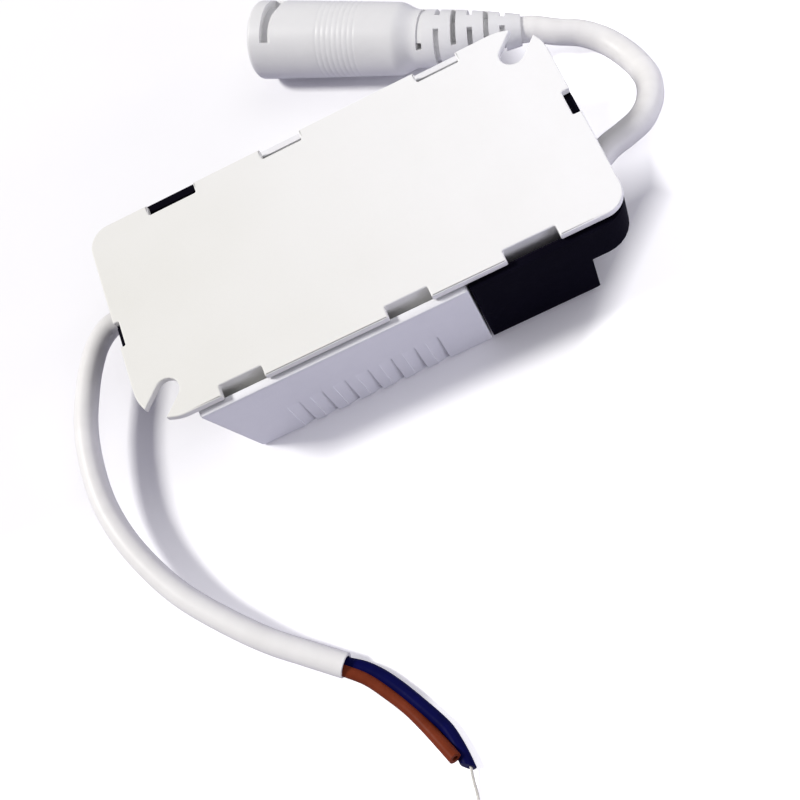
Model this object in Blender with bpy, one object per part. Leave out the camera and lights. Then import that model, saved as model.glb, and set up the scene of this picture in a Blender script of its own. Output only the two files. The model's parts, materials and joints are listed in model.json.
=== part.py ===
"""LED driver, lying upside down on its lid, with its base plate facing up.

Axes: X along the driver, Y across it, Z up. The lid's outer face is at Z = 0, and X = Y = 0 is the middle.
The driver is the same after half a turn about Z, so the input side is the output side turned by 180 degrees.
The output side is the one at +X, -Y.
"""

import math

import bmesh
import bpy
from mathutils import Matrix, Vector

mm = 0.001

# Overall sizes
plate_length = 86.0 * mm
plate_width = 41.2 * mm
plate_thickness = 1.45 * mm
driver_height = 21.1 * mm
wall = 1.5 * mm
floor = 1.4 * mm
clearance = 0.3 * mm
rim_overhang = 1.0 * mm

# Base plate outline
plain_corner_radius = 4.0 * mm
slot_corner_radius = 8.0 * mm
plate_edge_bevel = 0.25 * mm
screw_slot_width = 4.3 * mm
screw_slot_inset_x = 0.0663 * plate_length
screw_slot_inset_y = 5.5 * mm
edge_notch_depth = 2.1 * mm
edge_notches = (
    (-0.2895 * plate_length, 7.8 * mm),
    (0.057 * plate_length, 7.6 * mm),
    (0.307 * plate_length, 9.2 * mm),
)
end_notch_depth = 1.5 * mm
end_notch_width = 4.9 * mm
end_notch_y = 1.2 * mm

# Snap lugs on the plate and the catches that hold them
lug_thickness = 1.2 * mm
lug_length = 6.5 * mm
lug_side_gap = 0.8 * mm
barb_reach = 0.8 * mm
barb_height = 1.2 * mm
catch_height = 1.3 * mm

# White housing
white_end_inset = 0.1035 * plate_length
end_slant = 3.75 * mm
lid_edge_bevel = 0.7 * mm
partition = 1.2 * mm
pocket_y = 5.5 * mm

# Vent grooves
groove_count = 7
groove_pitch = 0.05 * plate_length
groove_width = 2.4 * mm
groove_below_top = 11.5 * mm
groove_depth = 0.75 * mm
groove_middle_x = -0.0907 * plate_length

# Black terminal covers
cover_length = 0.2349 * plate_length
cover_end_inset = 0.0977 * plate_length
cover_bevel = 1.4 * mm
shelf_depth = 8.35 * mm
shelf_floor = 1.2 * mm
shelf_corner_radius = 5.5 * mm
end_tab_rise = 1.0 * mm

# Cords where they enter, and their clamps
input_cord_diameter = 4.3 * mm
output_cord_diameter = 4.4 * mm
core_diameter = 2.0 * mm
lead_diameter = 1.7 * mm
lead_straight = 0.6 * mm
strand_diameter = 0.5 * mm
cord_entry_y = 7.0 * mm
cord_below_shelf = 2.8 * mm
cord_inside = 0.0907 * plate_length
clamp_inside = 0.0605 * plate_length
clamp_width = 3.4 * mm
clamp_thickness = 1.9 * mm
clamp_screw_spacing = 11.2 * mm
clamp_end = 2.4 * mm
boss_radius = 2.2 * mm
boss_floor = 1.1 * mm
screw_radius = 0.95 * mm
screw_head_radius = 1.9 * mm
screw_head_height = 1.4 * mm

# Terminal blocks
block_inset = 0.0186 * plate_length
block_length = 0.0884 * plate_length
block_width = 10.4 * mm
block_bevel = 0.4 * mm
terminal_spacing = 5.0 * mm
terminal_hole_depth = 3.0 * mm
terminal_well_radius = 1.5 * mm
lead_entry_depth = 1.5 * mm

# Circuit board
board_thickness = 1.6 * mm
board_below_plate = 5.65 * mm
board_end_gap = 0.0419 * plate_length
board_side_gap = 3.6 * mm
board_cut_inset = 0.1163 * plate_length

# Transformer, which hangs from the board
transformer_place = (0.1452, 0.0)
transformer_width = 0.388 * plate_width
transformer_thickness = 0.0523 * plate_length
transformer_leg = 0.097 * plate_width
transformer_yoke = 2.4 * mm
coil_bevel = 0.8 * mm

# Other components: places as shares of the board's half length and half width, and sizes
inductor_place = (-0.2742, -0.6788)
inductor_radius = 0.0465 * plate_length
inductor_waist = 0.7 * mm
inductor_flange = 1.2 * mm
fuse_place = (-0.7548, -0.9333)
fuse_length = 0.1699 * plate_width
fuse_radius = 0.0186 * plate_length
varistor_place = (-0.9419, -0.7394)
varistor_thickness = 0.0349 * plate_length
varistor_radius = 3.6 * mm
film_place = (-0.6645, -0.9818)
film_size = (0.0698 * plate_length, 0.2087 * plate_width)
bridge_place = (-0.3742, -0.3273)
bridge_size = (0.0744 * plate_length, 0.1359 * plate_width)
bridge_height = 2.4 * mm
chip_place = (0.0774, -0.9212)
chip_size = (0.0581 * plate_length, 0.0971 * plate_width)
chip_height = 1.6 * mm
bulk_place = (-0.2258, 0.097)
bulk_length = 0.3495 * plate_width
diode_place = (0.3677, 0.6667)
diode_length = 0.093 * plate_length
diode_radius = 2.5 * mm
can_place = (0.7871, 0.7394)
can_radius = 0.0465 * plate_length
can_groove_drop = 1.6 * mm
can_groove_width = 0.8 * mm
can_groove_depth = 0.4 * mm
component_bevel = 0.3 * mm

# Output connector, measured along its own axis from the open end
barrel_radius = 7.35 * mm
barrel_taper = 0.7 * mm
barrel_length = 28.6 * mm
barrel_rim_round = 0.9 * mm
shoulder_length = 4.3 * mm
relief_length = 18.6 * mm
relief_start_radius = 5.25 * mm
relief_end_radius = 2.85 * mm
relief_groove_count = 6
relief_groove_width = 0.95 * mm
relief_first_groove = 0.35 * mm
relief_plain_end = 1.2 * mm
relief_core_radius = 2.6 * mm
grip_ring_count = 8
grip_ring_pitch = 1.05 * mm
grip_ring_depth = 0.12 * mm
grip_ring_start = 14.2 * mm
locking_groove_start = 2.9 * mm
locking_groove_width = 2.3 * mm
locking_groove_widest = 3.6 * mm
locking_groove_depth = 1.0 * mm
connector_behind_end = 37.2 * mm
connector_open_y = 55.0 * mm
barrel_heading = math.radians(-31.8)
relief_turn = math.radians(11.5)
relief_dip = math.radians(6.0)
socket_bore_radius = 4.3 * mm
socket_mouth = 2.0 * mm
socket_flare = 1.2 * mm
socket_depth = 14.0 * mm
sleeve_wall = 0.45 * mm
insulator_thickness = 2.0 * mm
pin_radius = 1.05 * mm
pin_tip = 0.6 * mm

# Values worked out from the sizes above
screw_slot_x = plate_length / 2 - screw_slot_inset_x
screw_slot_y = plate_width / 2 - screw_slot_inset_y
white_end_x = plate_length / 2 - white_end_inset
cover_end_x = plate_length / 2 - cover_end_inset
pocket_x = cover_end_x - cover_length
cord_inner_x = cover_end_x - cord_inside
clamp_x = cover_end_x - clamp_inside
plate_under = driver_height - plate_thickness
half_width = plate_width / 2 + rim_overhang
inner_half_width = half_width - wall
rim_z = plate_under - clearance
shelf_under = rim_z - shelf_depth
groove_height = driver_height - groove_below_top
cord_entry_z = shelf_under - cord_below_shelf
output_middle_y = -cord_entry_y
board_underside = plate_under - board_below_plate
board_half_length = cover_end_x - board_end_gap
board_half_width = inner_half_width - board_side_gap
board_cut_x = cover_end_x - board_cut_inset
seat_z = board_underside - clearance
bay_depth = seat_z - floor
block_low_x = pocket_x + block_inset
block_high_x = block_low_x + block_length
block_under = cord_entry_z - 0.647 * (cord_entry_z - floor)
transformer_height = 0.862 * bay_depth
inductor_height = 0.732 * bay_depth
film_height = 0.699 * bay_depth
bulk_radius = 0.1537 * math.sqrt(plate_length * bay_depth)
can_height = 0.911 * bay_depth
connector_open_x = cover_end_x - connector_behind_end
tiny = 0.01 * mm
beyond = 20 * mm


def clear_scene():
    for item in list(bpy.data.objects):
        bpy.data.objects.remove(item)


def make_material(name, colour, roughness, metallic=0.0):
    material = bpy.data.materials.new(name)
    material.use_nodes = True
    shader = material.node_tree.nodes["Principled BSDF"]
    shader.inputs["Base Color"].default_value = (*colour, 1.0)
    shader.inputs["Roughness"].default_value = roughness
    shader.inputs["Metallic"].default_value = metallic
    material.diffuse_color = (*colour, 1.0)
    return material


def finish_mesh(name, shape, material=None):
    """Turns a bmesh into a named object with its faces pointing out."""
    bmesh.ops.recalc_face_normals(shape, faces=shape.faces)
    mesh = bpy.data.meshes.new(name)
    shape.to_mesh(mesh)
    shape.free()
    made = bpy.data.objects.new(name, mesh)
    bpy.context.scene.collection.objects.link(made)
    if material:
        mesh.materials.append(material)
    return made


def loft_between(name, lower, upper, material=None):
    """A closed solid between two loops of as many points each."""
    shape = bmesh.new()
    bottom = [shape.verts.new(point) for point in lower]
    top = [shape.verts.new(point) for point in upper]
    shape.faces.new(reversed(bottom))
    shape.faces.new(top)
    count = len(bottom)
    for i in range(count):
        following = (i + 1) % count
        shape.faces.new((bottom[i], bottom[following], top[following], top[i]))
    return finish_mesh(name, shape, material)


def prism(name, outline, low, high, material=None):
    lower = [(x, y, low) for x, y in outline]
    upper = [(x, y, high) for x, y in outline]
    return loft_between(name, lower, upper, material)


def box(name, x_range, y_range, z_range, material=None):
    (x0, x1), (y0, y1) = x_range, y_range
    return prism(name, ((x0, y0), (x1, y0), (x1, y1), (x0, y1)), *z_range, material)


def rod(name, start, end, radius, material=None, sides=24):
    """A cylinder between two points."""
    shape = bmesh.new()
    start, end = Vector(start), Vector(end)
    turn = (end - start).to_track_quat("Z", "Y").to_matrix().to_4x4()
    place = Matrix.Translation((start + end) / 2) @ turn
    length = (end - start).length
    bmesh.ops.create_cone(
        shape, cap_ends=True, segments=sides, radius1=radius, radius2=radius, depth=length, matrix=place
    )
    return finish_mesh(name, shape, material)


def arc_points(centre, radius, start_degrees, end_degrees, steps):
    points = []
    for i in range(steps + 1):
        angle = math.radians(start_degrees + (end_degrees - start_degrees) * i / steps)
        points.append((centre[0] + radius * math.cos(angle), centre[1] + radius * math.sin(angle)))
    return points


def apply_tool(target, tool, operation):
    modifier = target.modifiers.new(tool.name, "BOOLEAN")
    modifier.operation = operation
    modifier.solver = "EXACT"
    modifier.object = tool
    tool.hide_render = True
    tool.display_type = "WIRE"
    tool.parent = target


def cut(target, *tools):
    for tool in tools:
        apply_tool(target, tool, "DIFFERENCE")


def join(target, *tools):
    for tool in tools:
        apply_tool(target, tool, "UNION")


def add_bevel(target, width, segments=1, angle=50, limit="ANGLE"):
    modifier = target.modifiers.new("edge bevel", "BEVEL")
    modifier.width = width
    modifier.segments = segments
    modifier.limit_method = limit
    modifier.angle_limit = math.radians(angle)


def smooth(target, angle=40):
    target.data.shade_smooth()
    target.data.set_sharp_from_angle(angle=math.radians(angle))
    return target


def turn_half(target):
    """Moves a piece modelled on the output side to the input side."""
    target.rotation_euler.z = math.pi
    return target


def place_for(side, target):
    return turn_half(target) if side == "input" else target


# Base plate


def plate_outline():
    half_length, half_plate = plate_length / 2, plate_width / 2
    points = []
    corners = (
        (1, -1, plain_corner_radius, -90),
        (1, 1, slot_corner_radius, 0),
        (-1, 1, plain_corner_radius, 90),
        (-1, -1, slot_corner_radius, 180),
    )
    for along, across, radius, start in corners:
        centre = (along * (half_length - radius), across * (half_plate - radius))
        points += arc_points(centre, radius, start, start + 90, 7)
    return points


def lug_faces():
    """How far from the middle a lug's outer and inner faces stand."""
    outer = plate_width / 2 - edge_notch_depth
    return outer, outer - lug_thickness


def snap_lug(name, middle_x, notch_width):
    """A tongue under the plate, beside a notch on the -Y edge, with a barb that faces the wall."""
    outer, inner = lug_faces()
    low = plate_under - lug_length
    barb_top = low + barb_height
    profile = (
        (-inner, plate_under + plate_thickness / 2),
        (-inner, low),
        (-outer, low),
        (-(outer + barb_reach), barb_top - clearance),
        (-(outer + barb_reach), barb_top),
        (-outer, barb_top),
        (-outer, plate_under + plate_thickness / 2),
    )
    half = notch_width / 2 - lug_side_gap
    left = [(middle_x - half, y, z) for y, z in profile]
    right = [(middle_x + half, y, z) for y, z in profile]
    return loft_between(name, left, right)


def make_base_plate(material):
    plate = prism("base_plate", plate_outline(), plate_under, driver_height, material)
    add_bevel(plate, plate_edge_bevel, angle=60)
    half_length, half_plate = plate_length / 2, plate_width / 2
    z_range = (plate_under - beyond, driver_height + beyond)
    for turned in (False, True):
        label = "far" if turned else "near"
        for i, (x, width) in enumerate(edge_notches):
            y_range = (-half_plate - beyond, -half_plate + edge_notch_depth)
            notch = box(f"{label} notch {i}", (x - width / 2, x + width / 2), y_range, z_range)
            lug = snap_lug(f"{label} lug {i}", x, width)
            if turned:
                turn_half(notch)
                turn_half(lug)
            cut(plate, notch)
            join(plate, lug)
        y_range = (end_notch_y - end_notch_width / 2, end_notch_y + end_notch_width / 2)
        x_range = (half_length - end_notch_depth, half_length + beyond)
        end_notch = box(f"{label} end notch", x_range, y_range, z_range)
        slot = prism(f"{label} screw slot", screw_slot_outline(), *z_range)
        if turned:
            turn_half(end_notch)
            turn_half(slot)
        cut(plate, end_notch, slot)
    return smooth(plate)


def screw_slot_outline():
    """Half a circle round the screw, then two straight sides that leave the corner at 45 degrees."""
    radius = screw_slot_width / 2
    centre = (screw_slot_x, screw_slot_y)
    points = arc_points(centre, radius, 135, 315, 12)
    run = beyond * math.cos(math.radians(45))
    return points + [(points[-1][0] + run, points[-1][1] + run), (points[0][0] + run, points[0][1] + run)]


# White housing


def slanted_x(z, inset=0.0):
    """Where a slanted white end stands at height z."""
    return white_end_x - end_slant * (1 - z / rim_z) - inset


def housing_outline(z, inset):
    """The housing's plan at height z: a rectangle without the two corners that the covers fill."""
    end = slanted_x(z, inset)
    side = half_width - inset
    near_x = pocket_x - (partition if inset else 0)
    near_y = pocket_y + (partition if inset else 0)
    half = ((-end, -side), (near_x, -side), (near_x, near_y), (end, near_y))
    return half + tuple((-x, -y) for x, y in half)


def wall_catch(name, middle_x, notch_width):
    """The nose inside a side wall that a lug's barb snaps under."""
    outer, _ = lug_faces()
    low = plate_under - lug_length + barb_height + clearance
    tip = -(outer + clearance)
    root = -(inner_half_width + wall / 2)
    profile = ((root, low), (tip, low), (tip, low + catch_height / 2), (root, low + catch_height))
    half = notch_width / 2 - lug_side_gap
    left = [(middle_x - half, y, z) for y, z in profile]
    right = [(middle_x + half, y, z) for y, z in profile]
    return loft_between(name, left, right)


def vent_groove(name, right_x):
    """A groove that starts flush at its top left and is deepest at its lower right."""
    outside = -half_width - groove_depth
    face = -half_width
    left_x = right_x - groove_width
    low, high = -wall, groove_height
    shallow, deep = 0.15 * groove_depth, groove_depth
    lower = (
        (left_x, outside, low),
        (right_x, outside, low),
        (right_x, face + deep, low),
        (left_x, face + 0.4 * deep, low),
    )
    upper = (
        (left_x, outside, high),
        (right_x, outside, high),
        (right_x, face + 0.4 * deep, high),
        (left_x, face + shallow, high),
    )
    return loft_between(name, lower, upper)


def make_housing(material):
    lower = [(x, y, 0) for x, y in housing_outline(0, 0)]
    upper = [(x, y, rim_z) for x, y in housing_outline(rim_z, 0)]
    housing = loft_between("housing", lower, upper, material)
    add_bevel(housing, lid_edge_bevel, segments=2, angle=60)
    top = driver_height + wall
    lower = [(x, y, floor) for x, y in housing_outline(floor, wall)]
    upper = [(x, y, top) for x, y in housing_outline(top, wall)]
    cut(housing, loft_between("main bay", lower, upper))
    partition_cut_x = pocket_x - partition - clearance
    partition_cut_y = pocket_y + partition + clearance
    for turned in (False, True):
        label = "far" if turned else "near"
        opening = box(
            f"{label} board opening",
            (partition_cut_x, board_half_length + clearance),
            (-inner_half_width, partition_cut_y),
            (seat_z, top),
        )
        tools = [opening]
        for i in range(groove_count):
            right_x = groove_middle_x + groove_width / 2 + (i - (groove_count - 1) / 2) * groove_pitch
            tools.append(vent_groove(f"{label} vent groove {i}", right_x))
        catches = [wall_catch(f"{label} catch {i}", *edge_notches[i]) for i in (0, 1)]
        if turned:
            for tool in tools + catches:
                turn_half(tool)
        cut(housing, *tools)
        join(housing, *catches)
    return smooth(housing)


# Black terminal covers, modelled on the output side


def shelf_outline(inset, inner_x):
    """Plan of the shelf under the plate's end, from inner_x outwards."""
    end = plate_length / 2 - inset
    side = -half_width + inset
    radius = shelf_corner_radius - inset
    back = pocket_y - clearance - inset
    corner = arc_points((end - radius, side + radius), radius, -90, 0, 7)
    return [(inner_x, side)] + corner + [(end, back), (inner_x, back)]


def make_cover(side, cord_diameter, material):
    low_x = pocket_x + clearance
    back_y = pocket_y - clearance
    cover = box(f"{side}_terminal_cover", (low_x, cover_end_x), (-half_width, back_y), (0, rim_z), material)
    mark_bevel_edges(cover, lambda a, b: max(a.z, b.z) < tiny and max(a.x, b.x) > low_x + tiny)
    add_bevel(cover, cover_bevel, segments=2, limit="WEIGHT")
    shelf = prism("shelf " + side, shelf_outline(0, cover_end_x - wall), shelf_under, rim_z)
    join(cover, shelf)
    top = driver_height + wall
    bay_x = (low_x - wall, cover_end_x - wall)
    bay = box("bay " + side, bay_x, (-inner_half_width, back_y + wall), (floor, top))
    shelf_z = shelf_under + shelf_floor
    shelf_bay = prism("shelf bay " + side, shelf_outline(wall, cover_end_x - 2 * wall), shelf_z, top)
    hole_radius = cord_diameter / 2 + clearance
    start = (cover_end_x - 3 * wall, output_middle_y, cord_entry_z)
    end = (cover_end_x + wall, output_middle_y, cord_entry_z)
    cut(cover, bay, shelf_bay, rod("cord hole " + side, start, end, hole_radius))
    join(cover, wall_catch("cover catch " + side, *edge_notches[2]), end_tab(side))
    join(cover, *clamp_seat(side, cord_diameter))
    for i in (0, 1):
        hole = rod(f"boss hole {side} {i}", *boss_ends(i, cord_diameter), screw_radius + clearance)
        cut(cover, hole)
    return place_for(side, smooth(cover))


def mark_bevel_edges(target, wanted):
    """Gives a bevel weight to each edge whose two ends pass the test."""
    mesh = target.data
    weights = mesh.attributes.new("bevel_weight_edge", "FLOAT", "EDGE")
    for edge in mesh.edges:
        ends = [mesh.vertices[i].co for i in edge.vertices]
        weights.data[edge.index].value = 1.0 if wanted(*ends) else 0.0


def end_tab(side):
    """The tab that stands up from the shelf's rim into the plate's end notch."""
    low_x = plate_length / 2 - end_notch_depth + clearance
    half = end_notch_width / 2 - clearance
    y_range = (end_notch_y - half, end_notch_y + half)
    return box("end tab " + side, (low_x, plate_length / 2), y_range, (rim_z - wall, rim_z + end_tab_rise))


def clamp_screw_y(index):
    return output_middle_y + (index - 0.5) * clamp_screw_spacing


def clamp_under(cord_diameter):
    return cord_entry_z + cord_diameter / 2 + clearance


def boss_ends(index, cord_diameter):
    """The axis of a boss's screw hole, from inside the boss to above it."""
    y = clamp_screw_y(index)
    return (clamp_x, y, floor + boss_floor), (clamp_x, y, clamp_under(cord_diameter) + clearance)


def clamp_seat(side, cord_diameter):
    """The saddle under the cord, and the two bosses beside it."""
    saddle = box(
        "saddle " + side,
        (clamp_x - clamp_width / 2, clamp_x + clamp_width / 2),
        (output_middle_y - cord_diameter / 3, output_middle_y + cord_diameter / 3),
        (floor / 2, cord_entry_z - cord_diameter / 2 - clearance),
    )
    top = clamp_under(cord_diameter) - clearance
    bosses = []
    for i in (0, 1):
        y = clamp_screw_y(i)
        foot = (clamp_x, y, floor / 2)
        bosses.append(rod(f"boss {side} {i}", foot, (clamp_x, y, top), boss_radius, sides=20))
    return [saddle, *bosses]


def make_clamp(side, cord_diameter, material):
    """A bar across the cord, rounded at its two ends, with a screw hole at each."""
    under = clamp_under(cord_diameter)
    first, second = clamp_screw_y(0), clamp_screw_y(1)
    outline = arc_points((clamp_x, second), clamp_end, 0, 180, 10)
    outline += arc_points((clamp_x, first), clamp_end, 180, 360, 10)
    clamp = prism(f"{side}_cord_clamp", outline, under, under + clamp_thickness, material)
    for i in (0, 1):
        y = clamp_screw_y(i)
        ends = (clamp_x, y, 0), (clamp_x, y, driver_height)
        hole = rod(f"clamp hole {side} {i}", *ends, screw_radius + clearance)
        cut(clamp, hole)
    return place_for(side, smooth(clamp))


def make_clamp_screw(side, index, cord_diameter, material):
    y = clamp_screw_y(index)
    seat = clamp_under(cord_diameter) + clamp_thickness + clearance
    foot = floor + boss_floor + 2 * clearance
    name = f"{side}_clamp_screw_{index + 1}"
    screw = rod(name, (clamp_x, y, foot), (clamp_x, y, seat + tiny), screw_radius, material)
    head_top = (clamp_x, y, seat + screw_head_height)
    head = rod(f"screw head {side} {index}", (clamp_x, y, seat), head_top, screw_head_radius)
    arm = screw_head_radius * 0.6
    slot_width = 0.25 * screw_head_radius
    slot_z = (seat + screw_head_height * 0.5, seat + screw_head_height + clearance)
    long_x, short_x = (clamp_x - arm, clamp_x + arm), (clamp_x - slot_width, clamp_x + slot_width)
    long_y, short_y = (y - arm, y + arm), (y - slot_width, y + slot_width)
    across = box(f"slot x {side} {index}", long_x, short_y, slot_z)
    along = box(f"slot y {side} {index}", short_x, long_y, slot_z)
    join(screw, head)
    cut(screw, across, along)
    return place_for(side, smooth(screw))


# Terminal blocks and the leads into them

def make_terminal_block(side, material):
    y_range = (output_middle_y - block_width / 2, output_middle_y + block_width / 2)
    block = box(f"{side}_terminal_block", (block_low_x, block_high_x), y_range, (block_under, seat_z), material)
    add_bevel(block, block_bevel)
    for i in (0, 1):
        y = output_middle_y + (i - 0.5) * terminal_spacing
        hole_x = block_high_x - terminal_hole_depth
        hole = rod(
            f"wire hole {side} {i}",
            (hole_x, y, cord_entry_z),
            (block_high_x + wall, y, cord_entry_z),
            lead_diameter / 2 + clearance,
            sides=16,
        )
        screw_x = block_low_x + 0.3 * block_length
        well_top = (screw_x, y, block_under + 2 * wall)
        well = rod(f"screw well {side} {i}", (screw_x, y, 0), well_top, terminal_well_radius, sides=16)
        cut(block, hole, well)
    return place_for(side, smooth(block))


def make_lead(name, side, index, material):
    """A core from the end of the cord's sheath into its terminal."""
    across = index - 0.5
    sheath_y = output_middle_y + across * (lead_diameter + clearance)
    block_y = output_middle_y + across * terminal_spacing
    start_x = cord_inner_x - clearance
    end_x = block_high_x - lead_entry_depth
    points = [
        (start_x, sheath_y, cord_entry_z),
        (start_x - lead_straight, sheath_y, cord_entry_z),
        (block_high_x + lead_straight, block_y, cord_entry_z),
        (end_x, block_y, cord_entry_z),
    ]
    return place_for(side, tube(name, points, lead_diameter, material, resolution=2))


# Cords


def smooth_route(points, steps):
    """Points along a centripetal Catmull-Rom curve through the given points."""
    points = [Vector(point) for point in points]
    padded = [2 * points[0] - points[1], *points, 2 * points[-1] - points[-2]]
    route = []
    for i in range(1, len(padded) - 2):
        four = padded[i - 1 : i + 3]
        knots = [0.0]
        for a, b in zip(four, four[1:]):
            knots.append(knots[-1] + math.sqrt((b - a).length))
        for step in range(steps):
            at = knots[1] + (knots[2] - knots[1]) * step / steps
            route.append(blend_four(four, knots, at))
    return [*route, points[-1]]


def blend_four(points, knots, at):
    """The place at parameter `at` on the curve through four points with these knots."""
    level = list(points)
    for reach in (1, 2):
        following = []
        for i in range(len(level) - 1):
            first, last = knots[i], knots[i + reach]
            share = (at - first) / (last - first)
            following.append(level[i] * (1 - share) + level[i + 1] * share)
        level = following
    share = (at - knots[1]) / (knots[2] - knots[1])
    return level[0] * (1 - share) + level[1] * share


def tube(name, points, diameter, material, resolution=3):
    """A cord: a curve of straight pieces with a round section and filled ends."""
    curve = bpy.data.curves.new(name, "CURVE")
    curve.dimensions = "3D"
    curve.bevel_depth = diameter / 2
    curve.bevel_resolution = resolution
    curve.use_fill_caps = True
    spline = curve.splines.new("POLY")
    spline.points.add(len(points) - 1)
    for spot, point in zip(spline.points, points):
        spot.co = (*point, 1.0)
    curve.materials.append(material)
    made = bpy.data.objects.new(name, curve)
    bpy.context.scene.collection.objects.link(made)
    return made


# Routes as rows of: distance beyond the cover's end, place across the driver, and height as a share, where 1 is
# the height of the hole in the cover and 0 is lying on the surface. The two plain numbers are millimetres.
input_route = (
    (7.8, 7.0, 1),
    (0.0, 7.0, 1),
    (-4.8, 8.0, 1.008),
    (-9.2, 9.5, 1.033),
    (-13.1, 9.6, 1.066),
    (-16.4, 7.2, 1.099),
    (-19.1, 3.1, 1.099),
    (-21.1, -1.6, 1.099),
    (-23.0, -7.4, 1.066),
    (-24.0, -14.1, 1),
    (-24.0, -21.6, 0.901),
    (-22.6, -28.6, 0.802),
    (-19.8, -35.8, 0.686),
    (-15.8, -42.9, 0.554),
    (-10.2, -49.8, 0.405),
    (-4.5, -55.7, 0.256),
    (0.8, -60.1, 0.124),
    (6.0, -64.3, 0.017),
)
output_route = (
    (-7.8, -7.0, 1),
    (0.0, -7.0, 1),
    (4.0, -6.3, 0.983),
    (7.6, -4.7, 0.95),
    (11.2, -3.1, 0.9),
    (14.9, -1.8, 0.817),
    (18.2, 0.3, 0.7),
    (20.5, 3.0, 0.567),
    (22.3, 6.3, 0.417),
    (23.5, 10.2, 0.283),
    (23.3, 14.4, 0.167),
    (22.2, 18.6, 0.1),
    (20.4, 22.3, 0.117),
    (17.3, 25.4, 0.25),
    (13.4, 27.3, 0.433),
)
live_core_route = (
    (6.08, -64.87, 0.063),
    (8.45, -67.8, 0.028),
    (10.61, -70.74, 0.007),
    (12.91, -74.62, 0.007),
    (14.62, -78.0, 0.021),
    (16.0, -81.05, 0.077),
    (17.19, -83.91, 0.147),
)
neutral_core_route = (
    (8.27, -64.25, 0.273),
    (10.81, -67.19, 0.161),
    (13.23, -70.19, 0.077),
    (15.37, -73.97, 0.021),
    (16.85, -76.59, 0.007),
    (18.05, -79.19, 0.007),
    (18.79, -81.46, 0.007),
    (19.17, -84.1, 0.007),
    (19.03, -86.33, 0.007),
)
strand_route = (
    (18.96, -86.74, 0.107),
    (18.65, -88.29, 0.069),
    (18.45, -89.86, 0.031),
    (18.23, -91.32, 0.013),
)


def laid_out(rows, direction, diameter):
    """The points of a route at the end that `direction` names: 1 for the output and -1 for the input."""
    points = []
    for along, across, share in rows:
        height = diameter / 2 + share * (cord_entry_z - diameter / 2)
        points.append((direction * cover_end_x + along * mm, across * mm, height))
    return points


def make_cords(materials):
    points = smooth_route(laid_out(input_route, -1, input_cord_diameter), 4)
    tube("input_cord", points, input_cord_diameter, materials["sheath"])
    points = smooth_route(laid_out(live_core_route, -1, core_diameter), 4)
    tube("input_live_core", points, core_diameter, materials["brown"], 2)
    points = smooth_route(laid_out(neutral_core_route, -1, core_diameter), 4)
    tube("input_neutral_core", points, core_diameter, materials["blue"], 2)
    points = smooth_route(laid_out(strand_route, -1, strand_diameter), 3)
    tube("neutral_strands", points, strand_diameter, materials["tin"], 2)
    relief_end, direction = connector_station(connector_length())
    cord_end = relief_end + direction * clearance
    cord_start = cord_end + direction * output_cord_diameter / 3
    route = [*laid_out(output_route, 1, output_cord_diameter), cord_start, cord_end]
    tube("output_cord", smooth_route(route, 4), output_cord_diameter, materials["sheath"])


# Output connector: a body whose centreline is straight along the barrel and bends a little in the relief


def connector_length():
    return barrel_length + shoulder_length + relief_length


def connector_station(distance):
    """The centre and direction of the connector's centreline at a distance from its open end."""
    place = Vector((connector_open_x, connector_open_y, barrel_radius))
    straight = barrel_length + shoulder_length
    forward = heading_vector(0.0)
    if distance <= straight:
        return place + forward * distance, forward
    place += forward * straight
    steps = 12
    bend = min(distance - straight, relief_length)
    for i in range(steps):
        forward = heading_vector(bend * (i + 0.5) / steps / relief_length)
        place += forward * bend / steps
    return place, heading_vector(bend / relief_length)


def heading_vector(share):
    """The centreline's direction after this share of the relief: it bends most near the barrel."""
    turned = 1 - (1 - share) ** 3
    yaw = barrel_heading + relief_turn * turned
    dip = relief_dip * turned
    return Vector((math.cos(yaw) * math.cos(dip), math.sin(yaw) * math.cos(dip), -math.sin(dip)))


def frame_at(distance):
    """Centre, forward, sideways and up vectors at a station."""
    centre, forward = connector_station(distance)
    sideways = forward.cross(Vector((0, 0, 1))).normalized()
    return centre, forward, sideways, sideways.cross(forward)


def point_round(distance, radius, angle):
    """A point on the connector: angle 0 faces the driver, 90 degrees faces up."""
    centre, _, sideways, upward = frame_at(distance)
    return centre + sideways * (radius * math.cos(angle)) + upward * (radius * math.sin(angle))


def turned_body(name, profile, sides, material=None):
    """A body of rings along the centreline, from (distance, radius) pairs, closed at both ends."""
    shape = bmesh.new()
    rings = []
    for distance, radius in profile:
        ring = []
        for i in range(sides):
            ring.append(shape.verts.new(point_round(distance, radius, math.tau * i / sides)))
        rings.append(ring)
    for first, second in zip(rings, rings[1:]):
        for i in range(sides):
            following = (i + 1) % sides
            shape.faces.new((first[i], first[following], second[following], second[i]))
    shape.faces.new(rings[0])
    shape.faces.new(reversed(rings[-1]))
    return finish_mesh(name, shape, material)


def arc_cutter(name, angles, spans, inner, outer):
    """A curved block round the connector: at each angle it spans its own stretch of the centreline."""
    shape = bmesh.new()
    sections = []
    for angle, (start, end) in zip(angles, spans):
        corners = ((start, inner), (end, inner), (end, outer), (start, outer))
        sections.append([shape.verts.new(point_round(at, radius, angle)) for at, radius in corners])
    for first, second in zip(sections, sections[1:]):
        for i in range(4):
            following = (i + 1) % 4
            shape.faces.new((first[i], first[following], second[following], second[i]))
    shape.faces.new(reversed(sections[0]))
    shape.faces.new(sections[-1])
    return finish_mesh(name, shape)


def relief_radius(share):
    """The relief stays full for its first half and then draws in to the cord."""
    return relief_start_radius - (relief_start_radius - relief_end_radius) * share**1.7


def barrel_radius_at(distance):
    """The barrel narrows a little towards the relief."""
    return barrel_radius - barrel_taper * (distance / barrel_length) ** 1.3


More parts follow.
